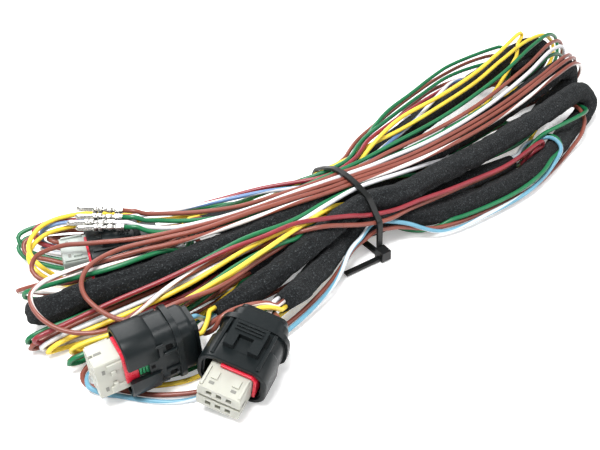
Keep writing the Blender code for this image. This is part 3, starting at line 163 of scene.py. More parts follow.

# Wires: colour, start, points, end
WIRES = {
    "wire_pin_brown": ("brown", ("pin", 0), (
        (-86, 31, 27), (-76, 27, 25), (-63, 21, 24), (-48, 15, 24), (-31, 11, 25), (-15, 8, 26), (0, 7, 27),
        (16, 5, 28), (48, 6, 27), (86, 12, 27), (136, 27, 27), (168, 40, 26), (180, 44, 21),
        (183, 44, 14), (178, 42, 7), (160, 37, 6), (130, 32, 8)), ("tape", "main_right", 2)),
    "wire_pin_green": ("green", ("pin", 1), (
        (-88, 28, 26), (-78, 24, 23), (-65, 18, 22), (-47, 13, 21), (-27, 12, 23), (0, 10, 26), (35, 12, 27),
        (73, 17, 27), (119, 29, 27), (157, 43, 27), (175, 49, 25), (184, 51, 18), (183, 48, 10),
        (170, 42, 4), (145, 34, 3), (130, 33, 5)), ("tape", "main_right", 1)),
    "wire_pin_white": ("white", ("pin", 2), (
        (-91, 25, 26), (-80, 20, 23), (-64, 14, 24), (-45, 10, 25), (-22, 8, 26), (0, 5, 27), (20, 3, 28),
        (50, 4, 27), (90, 10, 27), (130, 21, 27), (162, 33, 26), (177, 38, 20), (178, 37, 10),
        (165, 34, 7), (130, 30, 6)), ("tape", "main_right", 0)),
    "wire_pin_green_2": ("green", ("pin", 3), (
        (-90, 20, 26), (-81, 15, 23), (-64, 10, 23), (-45, 8, 23), (-22, 8, 24), (0, 8, 24), (25, 5, 26),
        (60, 6, 26), (100, 13, 26), (135, 23, 26), (160, 32, 25), (173, 36, 18), (172, 34, 8),
        (158, 31, 3), (130, 29, 2)), ("tape", "main_right", 11)),
    "wire_loop_brown_top": ("brown", ("tape", "far_left", 8), (
        (-76, 20, 19), (-92, 13, 23), (-110, 14, 21), (-123, 20, 15), (-131, 29, 11),
        (-136, 37, 13), (-133, 40, 17), (-124, 35, 22), (-112, 26, 24.5), (-93, 14, 27), (-62, 7, 27),
        (-35, 5, 27), (0, 2, 27), (30, -1, 27), (60, 1, 27), (95, 6, 27), (135, 15, 27),
        (160, 23, 26), (174, 29, 20), (175, 30, 10), (160, 28, 3), (130, 27, 3)),
        ("tape", "main_right", 5)),
    "wire_loop_brown_big": ("brown", ("tape", "main_top", 0), (
        (108, 8, 8), (80, 5, 10), (45, 2, 12), (0, 0, 14), (-16, -5, 18), (-35, -12, 21),
        (-60, -18, 22), (-82, -23, 22), (-98, -22, 22), (-110, -20, 20), (-119, -16, 18),
        (-125, -7, 19), (-127, 4, 22), (-121, 12, 24), (-107, 14, 25), (-89, 10, 26), (-73, 5, 27),
        (-48, 2, 28), (-27, 0, 28), (0, 0, 27), (35, -3, 27), (70, 0, 27), (105, 6, 27),
        (140, 14, 28), (162, 20, 26), (174, 25, 19), (174, 26, 11), (158, 29, 9), (130, 28, 9)),
        ("tape", "main_right", 3)),
    "wire_loop_brown_white": ("brown_white", ("tape", "main_top", 1), (
        (108, 6, 7), (80, 3, 8), (45, 2, 8), (20, 1, 8), (0, -1, 9), (-12, -4, 13), (-25, -8, 19),
        (-40, -9, 22), (-60, -10, 23), (-90, -8, 18), (-112, -11, 14), (-125, -12, 13),
        (-138, -5, 14), (-145, 5, 18), (-145, 13, 23), (-138, 17, 24), (-120, 17, 24),
        (-100, 12, 25), (-84, 7, 26), (-61, 3, 27), (-30, 0, 28), (0, -2, 27), (35, -5, 27),
        (70, -3, 27), (110, 4, 27), (143, 12, 28), (164, 18, 26), (175, 22, 18), (175, 24, 10),
        (160, 26, 6), (130, 26, 6)), ("tape", "main_right", 4)),
    "wire_far_yellow": ("yellow", ("cavity", "connector_3", 0), (
        (-70, 28, 15), (-66, 25, 12), (-67, 23, 7), (-74, 22, 3), (-88, 22, 2), (-106, 26, 2),
        (-123, 35, 5), (-131, 43, 10), (-131, 51, 13), (-122, 57, 15), (-107, 57, 14),
        (-90, 53, 11), (-65, 42, 9), (-35, 29, 12), (0, 21, 18), (20, 20, 25), (47, 21, 26),
        (75, 25, 27), (105, 32, 27), (130, 40, 28), (156, 48, 28), (174, 52, 24), (181, 52, 15),
        (170, 45, 9), (140, 36, 9)), ("tape", "main_right", 7)),
    "wire_far_green": ("green", ("tape", "far_left", 11), (
        (-78, 24, 5), (-92, 28, 2), (-108, 38, 2), (-121, 52, 3), (-129, 61, 5), (-129, 67, 8),
        (-120, 65, 10), (-100, 58, 8), (-65, 44, 6), (-30, 30, 10), (0, 20, 20), (22, 26, 24),
        (50, 38, 20), (85, 52, 16), (115, 63, 13), (143, 67, 10), (163, 67, 7), (171, 61, 4),
        (165, 50, 3), (140, 38, 3)), ("tape", "main_right", 12)),
    "wire_far_brown": ("brown", ("cavity", "connector_3", 1), (
        (-71, 18, 15), (-67, 16, 11), (-69, 17, 6), (-77, 21, 3), (-90, 28, 2), (-106, 38, 3),
        (-121, 51, 5), (-129, 58, 8), (-127, 62, 11), (-112, 60, 11), (-92, 53, 7), (-62, 41, 4),
        (-30, 32, 6), (0, 22, 15), (22, 30, 20), (45, 40, 18), (80, 55, 14), (116, 67, 11),
        (143, 72, 9), (160, 72, 7), (167, 68, 5), (161, 63, 3), (147, 60, 2), (133, 56, 3),
        (129, 52, 4)), ("tape", "far_right", 2)),
    "wire_far_white": ("white_blue", ("cavity", "connector_3", 2), (
        (-71, 22, 8), (-69, 21, 5), (-76, 25, 3), (-90, 33, 3), (-105, 42, 5), (-118, 50, 8),
        (-124, 54, 10), (-121, 58, 8), (-108, 56, 5), (-90, 50, 4), (-60, 38, 3), (-30, 28, 4),
        (0, 18, 4), (25, 24, 5), (50, 37, 8), (80, 49, 9), (105, 56, 8), (125, 55, 7), (137, 52, 6)),
        ("tape", "far_right", 0)),
    "wire_fan_green": ("green", ("tape", "low_left", 4), (
        (-80, -3, 4), (-110, 3, 3), (-136, 9, 3), (-148, 11, 4), (-152, 10, 7), (-146, 9, 10),
        (-124, 6, 13), (-97, 0, 17), (-66, -6, 22), (-35, -9, 23), (-16, -6, 24), (0, -5, 25),
        (20, -6, 24), (40, -6, 17), (60, -7, 11), (85, -6, 10), (105, -4, 10), (126, 3, 11),
        (140, 7, 10), (150, 8, 9), (154, 3, 8), (150, -5, 9), (140, -9, 12), (126, -10, 13),
        (112, -9, 11)), ("tape", "low_right", 1)),
    "wire_fan_brown": ("brown", ("tape", "low_left", 5), (
        (-80, -5, 3), (-110, 1, 2), (-135, 6, 2), (-148, 7, 3), (-152, 6, 6), (-146, 5, 8),
        (-124, 3, 11), (-97, -2, 15), (-66, -8, 21), (-50, -11, 22), (-38, -14, 23), (-26, -19, 23),
        (-14, -22, 20), (-4, -22, 17), (8, -22, 15), (18, -21, 15), (34, -20, 14), (55, -19, 13),
        (78, -18, 12), (94, -15, 12), (106, -12, 12), (112, -10, 9), (107, -11, 7)),
        ("tape", "low_right", 3)),
    "wire_fan_white": ("white", ("tape", "low_left", 11), (
        (-80, -7, 3), (-110, -2, 2), (-134, 3, 2), (-145, 4, 3), (-149, 3, 5), (-143, 2, 8),
        (-122, 0, 10), (-97, -4, 14), (-66, -9, 21), (-35, -10, 24), (-18, -8, 26), (0, -6, 27),
        (18, -6, 26), (37, -5, 23), (55, -1, 18), (75, 4, 13), (105, 8, 10)), ("tape", "main_top", 8)),
    "wire_fan_yellow": ("yellow", ("tape", "low_left", 3), (
        (-80, -8, 6), (-110, -5, 3), (-134, 0, 2), (-143, 1, 3), (-147, 0, 5), (-141, -1, 8),
        (-125, -4, 11), (-107, -7, 14), (-86, -10, 18), (-59, -11, 23), (-35, -12, 23),
        (-15, -8, 18), (0, -2, 11), (30, 1, 9), (70, 6, 8), (105, 11, 7)), ("tape", "main_top", 4)),
    "wire_fan_yellow_2": ("yellow", ("tape", "low_left", 0), (
        (-80, -10, 5), (-110, -9, 3), (-128, -6, 2), (-137, -5, 3), (-140, -6, 5), (-134, -8, 8),
        (-122, -11, 10), (-109, -14, 13), (-100, -16, 15), (-84, -17, 18), (-67, -17, 21),
        (-40, -12, 22), (-18, -7, 19), (0, -4, 14), (30, -3, 12), (70, 2, 11), (105, 6, 9)),
        ("tape", "main_top", 2)),
    "wire_fan_brown_2": ("brown", ("tape", "low_left", 2), (
        (-80, -12, 7), (-110, -12, 4), (-130, -9, 2), (-139, -9, 3), (-142, -9, 5), (-136, -11, 7),
        (-120, -14, 9), (-100, -15, 12), (-80, -15, 16), (-60, -14, 20), (-35, -12, 21),
        (-16, -6, 16), (0, 1, 13), (30, 5, 13), (70, 9, 12), (105, 12, 10)), ("tape", "main_top", 3)),
    "wire_low_brown": ("brown", ("tape", "low_left", 6), (
        (-80, -13, 4), (-100, -15, 5), (-128, -15, 5), (-140, -17, 3), (-142, -23, 2),
        (-132, -35, 1.5), (-117, -47, 2), (-104, -52, 2), (-85, -46, 2), (-52, -40, 3),
        (-30, -33, 4), (-10, -25, 7), (0, -22, 9), (10, -24, 7), (30, -29, 3), (65, -30, 3),
        (92, -26, 3), (114, -18, 3), (130, -13, 4), (142, -9, 7), (149, -3, 11), (150, 4, 13),
        (145, 7, 13), (134, 5, 13), (122, 1, 12), (114, 3, 9), (118, 7, 7)), ("tape", "main_top", 7)),
    "wire_low_blue": ("blue", ("tape", "low_left", 12), (
        (-80, -15, 3), (-100, -18, 4), (-126, -18, 4), (-135, -21, 4), (-138, -27, 5),
        (-129, -39, 5), (-113, -52, 3), (-98, -55, 2), (-80, -49, 2), (-52, -43, 3), (-30, -36, 4),
        (-10, -27, 9), (0, -22, 12), (10, -24, 10), (30, -32, 2), (60, -32, 2), (85, -29, 3),
        (104, -23, 6), (114, -20, 11), (116, -12, 12), (108, -8, 9)), ("tape", "low_right", 2)),
    "wire_low_yellow": ("yellow", ("tape", "low_left", 1), (
        (-82, -16, 5), (-100, -19, 6), (-124, -19, 5), (-132, -22, 4), (-133, -28, 3),
        (-122, -37, 2), (-105, -44, 2), (-85, -41, 2), (-52, -37, 4), (-30, -31, 3), (-9, -24, 3),
        (5, -16, 3), (25, -16, 3), (50, -19, 3), (80, -19, 3), (100, -16, 3), (113, -3, 4)),
        ("tape", "main_top", 12)),
    "wire_low_green": ("green", ("tape", "low_left", 7), (
        (-84, -17, 4), (-100, -20, 4), (-120, -21, 4), (-128, -24, 4), (-128, -29, 3),
        (-117, -35, 2), (-100, -38, 2), (-86, -35, 3), (-76, -33, 7)), ("tape", "low_connector", 4)),
    "wire_small_brown": ("brown_white", ("tape", "far_left", 2), (
        (-76, 14, 18), (-92, 11, 22), (-111, 14, 23), (-126, 24, 17), (-138, 34, 11), (-142, 38, 8),
        (-136, 36, 6), (-122, 28, 3), (-105, 19, 3), (-84, 17, 3)), ("tape", "far_left", 6)),
    "wire_small_green": ("green", ("tape", "far_left", 1), (
        (-76, 13, 16), (-92, 9, 24), (-111, 11, 24), (-127, 20, 19), (-139, 29, 13), (-143, 33, 9),
        (-138, 31, 6), (-124, 24, 2), (-106, 17, 2), (-84, 15, 2)), ("tape", "far_left", 12)),
}
SHORT_WIRES = {
    "connector_1": ("near_connector", ("brown", "blue", "yellow")),
    "connector_2": ("low_connector", ("yellow", "brown", "white")),
}
SHORT_WIRE_SLOTS = (1, 5, 3)
SHORT_LEAD = 3.0           # straight stretch at each end of a short wire
CAVITIES = ((-1, 1), (1, 1), (0, -1))


def lengths_along(line):
    return np.concatenate([[0.0], np.cumsum(np.linalg.norm(np.diff(line, axis=0), axis=1))])


def smooth_curve(points, step):
    """A centripetal curve through the points, evenly sampled from the second point to the last but one."""
    given = np.array(points, float)
    ends = np.vstack([2 * given[0] - given[1], given, 2 * given[-1] - given[-2]])
    stretches = []
    for i in range(1, len(ends) - 2):
        p = ends[i - 1:i + 3]
        t = [0.0]
        for a, b in zip(p, p[1:]):
            t.append(t[-1] + math.sqrt(max(np.linalg.norm(b - a), 1e-6)))
        u = np.linspace(t[1], t[2], CURVE_SAMPLES, endpoint=False)[:, None]

        def blend(low, high, start, end):
            return (t[high] - u) / (t[high] - t[low]) * start + (u - t[low]) / (t[high] - t[low]) * end

        a = [blend(k, k + 1, p[k], p[k + 1]) for k in range(3)]
        b = [blend(k, k + 2, a[k], a[k + 1]) for k in range(2)]
        stretches.append(blend(1, 2, *b))
    stretches.append(given[-1:])
    dense = np.vstack(stretches)
    along = lengths_along(dense)
    low, high = along[CURVE_SAMPLES], along[-1 - CURVE_SAMPLES]
    count = max(1, int(round((high - low) / step)))
    wanted = np.concatenate([[0.0], np.linspace(low, high, count + 1), along[-1:]])
    return np.stack([np.interp(wanted, along, dense[:, k]) for k in range(3)], axis=1)


def nearest_between(p1, q1, p2, q2):
    """Where segments p1 q1 and p2 q2 come nearest: share along each, and the way and distance between."""
    d1, d2, r = q1 - p1, q2 - p2, p1 - p2
    a = (d1 * d1).sum(1) + 1e-12
    e = (d2 * d2).sum(1) + 1e-12
    b, c, f = (d1 * d2).sum(1), (d1 * r).sum(1), (d2 * r).sum(1)
    det = a * e - b * b
    s = np.where(det > 1e-9, np.clip((b * f - c * e) / np.maximum(det, 1e-9), 0, 1), 0.5)
    t = np.clip((b * s + f) / e, 0, 1)
    s = np.clip((b * t - c) / a, 0, 1)
    t = np.clip((b * s + f) / e, 0, 1)
    apart = (p1 + d1 * s[:, None]) - (p2 + d2 * t[:, None])
    return s, t, apart, np.sqrt((apart * apart).sum(1))


def table_height(x):
    """Lowest height of a strand's underside: over the strap it is lifted by the strap."""
    strap = STRAP_THICKNESS + STRAP_GAP - TABLE_GAP
    return TABLE_GAP + strap * np.exp(-(x / STRAP_RAMP) ** 2)


def near_pairs(x, seg, own, radius, joins, first):
    """Pairs of segments that may come too near, but no neighbours along a strand and no joined ends."""
    middle = 0.5 * (x[seg] + x[seg + 1])
    half = 0.5 * np.linalg.norm(x[seg + 1] - x[seg], axis=1).max()
    size = (middle * middle).sum(1)
    far2 = size[:, None] + size[None] - 2 * middle @ middle.T
    reach = radius[:, None] + radius[None] + SPREAD_GAP + 2 * half + PAIR_REACH
    near = far2 < reach * reach
    far_along = np.triu(near, NEXT_ALONG)
    i, j = np.nonzero(far_along)
    apart = (own[i] != own[j]) | ((j - i) * 2 * half > FOLD_REACH * (radius[i] + radius[j]))
    k, l = np.nonzero(np.triu(near, 1) & ~far_along)
    other = own[k] != own[l]
    i, j = np.concatenate([i[apart], k[other]]), np.concatenate([j[apart], l[other]])
    for run, run_end, wire, wire_end in joins:
        on_run, on_wire = (seg < first[strand] + 2 if end == 0 else seg >= first[strand + 1] - 3
                           for strand, end in ((run, run_end), (wire, wire_end)))
        met = (on_run[i] & on_wire[j] & (own[i] == run) & (own[j] == wire))
        met |= (on_run[j] & on_wire[i] & (own[j] == run) & (own[i] == wire))
        i, j = i[~met], j[~met]
    return i, j


def push_out_of_blocks(x, radius, free, blocks):
    for centre, axes, half in blocks:
        local = (x - centre) @ axes
        room = half + radius[:, None] + SPREAD_GAP
        depth = room - np.abs(local)
        inside = (depth > 0).all(axis=1) & free
        if inside.any():
            side = depth[inside].argmin(axis=1)
            rows = np.nonzero(inside)[0]
            sign = np.where(local[rows, side] >= 0, 1.0, -1.0)
            x[rows] += (sign * depth[rows, side])[:, None] * axes[:, side].T


def spread(strands, blocks, joins):
    """Moves strands apart by small smooth shifts. A strand is (points, radius, fixed points, weight)."""
    x = np.vstack([s[0] for s in strands])
    home = x.copy()
    first = np.cumsum([0] + [len(s[0]) for s in strands])
    own = np.concatenate([np.full(len(s[0]), k) for k, s in enumerate(strands)])
    radius = np.concatenate([np.full(len(s[0]), s[1]) for s in strands])
    weight = np.concatenate([np.full(len(s[0]), s[3]) for s in strands])
    for k, s in enumerate(strands):
        weight[first[k]:first[k] + s[2]] = 0.0
        weight[first[k + 1] - s[2]:first[k + 1]] = 0.0
    free = weight > 0
    seg = np.concatenate([np.arange(first[k], first[k + 1] - 1) for k in range(len(strands))])
    inner = np.setdiff1d(np.arange(len(x)), np.concatenate([first[:-1], first[1:] - 1]))
    inner = inner[free[inner]]
    for turn in range(SPREAD_ROUNDS):
        if turn % PAIRS_EVERY == 0:
            i, j = near_pairs(x, seg, own[seg], radius[seg], joins, first)
            wanted = radius[seg][i] + radius[seg][j] + SPREAD_GAP
            pi, pj = seg[i], seg[j]
        s, t, apart, gap = nearest_between(x[pi], x[pi + 1], x[pj], x[pj + 1])
        hit = gap < wanted
        s, t, apart, gap, a, b = s[hit], t[hit], apart[hit], gap[hit], pi[hit], pj[hit]
        short = wanted[hit] - gap
        away = apart / np.maximum(gap, 1e-6)[:, None]
        away[gap < 1e-3] = (0.0, 0.0, 1.0)
        shares = ((a, 1 - s, 1.0), (a + 1, s, 1.0), (b, 1 - t, -1.0), (b + 1, t, -1.0))
        give = sum(share * share * weight[idx] for idx, share, _ in shares)
        top = np.maximum.reduce([weight[idx] for idx, _, _ in shares])
        pull = short / np.maximum(give, LEAST_GIVE * top + 1e-9)
        move, count = np.zeros_like(x), np.zeros(len(x))
        for idx, share, sign in shares:
            amount = sign * share * weight[idx] * pull
            for axis in range(3):
                move[:, axis] += np.bincount(idx, amount * away[:, axis], len(x))
            count += np.bincount(idx, (weight[idx] > 0).astype(float), len(x))
        move /= np.maximum(count, 1.0)[:, None]
        x += move * DRIVE
        push_out_of_blocks(x, radius, free, blocks)
        hold = np.exp(-(x[:, 0] / TIE_REACH) ** 2) * free
        mid = STRAP_THICKNESS + TIE_HALF_HEIGHT
        ey = x[:, 1] / (TIE_HALF_WIDTH - radius - STRAP_GAP)
        ez = (x[:, 2] - mid) / (TIE_HALF_HEIGHT - radius - STRAP_GAP)
        outside = np.maximum(np.sqrt(ey * ey + ez * ez), 1.0)
        shrink = (1 - 1 / outside) * hold
        x[:, 1] -= shrink * x[:, 1]
        x[:, 2] -= shrink * (x[:, 2] - mid)
        shift = x - home
        passes, strength = SETTLED if turn >= SPREAD_ROUNDS - SETTLE_ROUNDS else SMOOTHING
        for _ in range(passes):
            shift[inner] += strength * (shift[inner - 1] + shift[inner + 1] - 2 * shift[inner])
        x = home + shift
        x[free, 2] = np.maximum(x[free, 2], (table_height(x[:, 0]) + radius)[free])
    return [x[first[k]:first[k + 1]] for k in range(len(strands))]


def bundle_place(slot):
    """Place of a wire in a round bundle: the middle, a ring of six, and a ring of six outside it."""
    if slot == 0:
        return 0.0, 0.0
    pitch = 360.0 / WIRES_IN_RING
    if slot <= WIRES_IN_RING:
        ring, turn = 1.0, pitch * (slot - 1)
    else:
        ring, turn = math.sqrt(3.0), pitch * (slot - WIRES_IN_RING - 0.5)
    angle = math.radians(turn)
    return ring * BUNDLE_PITCH * math.cos(angle), ring * BUNDLE_PITCH * math.sin(angle)


def tape_end(name):
    run, which = TAPE_ENDS[name]
    points = [Vector(p) for p in TRUNKS[run][1]]
    tip, before = (points[0], points[1]) if which == 0 else (points[-1], points[-2])
    return tip, (tip - before).normalized()


def pin_end(index):
    tip, crimp = (Vector(p) for p in PINS[index])
    along = (crimp - tip).normalized()
    return tip + along * PIN_LENGTH, along


def connector_frame(name):
    centre, yaw, pitch, roll, _ = CONNECTORS[name]
    turn = Matrix.Rotation(math.radians(yaw), 4, "Z") @ Matrix.Rotation(math.radians(pitch), 4, "Y")
    turn = turn @ Matrix.Rotation(math.radians(roll), 4, "X")
    return Matrix.Translation(Vector(centre)) @ turn


def mat_rear():
    return -REAR_LENGTH + MAT_DEPTH - MAT_THICKNESS - FIT_GAP


def cavity_end(name, cavity):
    frame = connector_frame(name)
    across, high = CAVITIES[cavity]
    place = Vector((mat_rear(), across * CAVITY_SPACING[0], high * CAVITY_SPACING[1]))
    return frame @ place, frame.to_3x3() @ Vector((-1.0, 0.0, 0.0))


def end_points(end, lead):
    """The two points of a wire at an end: just off the face it meets, and a little further out."""
    if end[0] == "tape":
        tip, out = tape_end(end[1])
        side = Vector((0.0, 0.0, 1.0)).cross(out).normalized()
        across, high = bundle_place(end[2])
        tip = tip + side * across + out.cross(side) * high
    elif end[0] == "pin":
        tip, out = pin_end(end[1])
    else:
        tip, out = cavity_end(end[1], end[2])
    return [tuple(tip + out * FIT_GAP), tuple(tip + out * lead)]


def all_wires():
    wires = dict(WIRES)
    for connector, (tape, colours) in SHORT_WIRES.items():
        for cavity, colour in enumerate(colours):
            start = ("tape", tape, SHORT_WIRE_SLOTS[cavity])
            end = ("cavity", connector, cavity)
            wires["wire_%s_%d" % (connector, cavity + 1)] = (colour, start, (), end)
    return wires


def head_box():
    length, depth, height = HEAD_SIZE
    side = STRAP_SIDE - STRAP_THICKNESS + HEAD_JOINT
    return (-0.5 * length, side - depth, HEAD_HEIGHT), (0.5 * length, side, HEAD_HEIGHT + height)


def tail_box():
    low, high = head_box()
    middle = 0.5 * (low[1] + high[1])
    return ((low[0] - TAIL_LENGTH, middle - 0.5 * STRAP_WIDTH, TAIL_HEIGHT),
            (low[0] + 1.0, middle + 0.5 * STRAP_WIDTH, TAIL_HEIGHT + STRAP_THICKNESS))


def box_block(low, high):
    low, high = np.array(low, float), np.array(high, float)
    return 0.5 * (low + high), np.eye(3), 0.5 * (high - low)


def connector_block(name):
    """The space of a connector, as a box that the loose wires keep clear of."""
    frame = connector_frame(name)
    back, front = -REAR_LENGTH - 0.5, SHELL_LENGTH + CARRIER_PROUD
    middle = frame @ Vector((0.5 * (back + front), 0.0, 0.0))
    half = (0.5 * (front - back), 0.5 * SHELL_WIDTH + FLANGE_LIP, 0.5 * SHELL_HEIGHT + FLANGE_LIP)
    return np.array(middle), np.array(frame.to_3x3()), np.array(half)


def pin_block(index):
    end, along = pin_end(index)
    side = Vector((0.0, 0.0, 1.0)).cross(along).normalized()
    axes = Matrix((along, side, along.cross(side))).transposed()
    thickest = max(max(width, height) for _, width, height in PIN_PROFILE)
    half = np.array((0.5 * PIN_LENGTH, thickest, thickest))
    return np.array(end - along * 0.5 * PIN_LENGTH), np.array(axes), half


def laid_out():
    """The spread strands, by name."""
    wires = all_wires()
    names = list(TRUNKS) + list(wires)
    strands, joins = [], []
    for name, (diameter, points) in TRUNKS.items():
        strands.append((smooth_curve(points, TRUNK_STEP), 0.5 * diameter, 2, TRUNK_GIVE))
    for name, (_, start, points, end) in wires.items():
        lead = WIRE_STEP if points else SHORT_LEAD
        route = end_points(start, lead) + [tuple(p) for p in points] + end_points(end, lead)[::-1]
        strands.append((smooth_curve(route, WIRE_STEP), 0.5 * WIRE_DIAMETER, 2, 1.0))
        for which, place in ((0, start), (1, end)):
            if place[0] == "tape":
                run, run_end = TAPE_ENDS[place[1]]
                joins.append((names.index(run), 0 if run_end == 0 else 1, names.index(name), which))
    blocks = [connector_block(connector) for connector in CONNECTORS]
    blocks += [pin_block(index) for index in range(len(PINS))]
    blocks += [box_block(*head_box()), box_block(*tail_box())]
    return dict(zip(names, spread(strands, blocks, joins)))


def cavity_size():
    """Width, height and corner of the hollow that the carrier and its seal stand in."""
    width, height = SHELL_WIDTH - 2 * SHELL_WALL_SIDE, SHELL_HEIGHT - 2 * SHELL_WALL_TOP
    return width, height, SHELL_CORNER - SHELL_WALL_SIDE


def carrier_size():
    width, height, _ = cavity_size()
    return width - 2 * CARRIER_ROOM_SIDE, height - 2 * CARRIER_ROOM_TOP

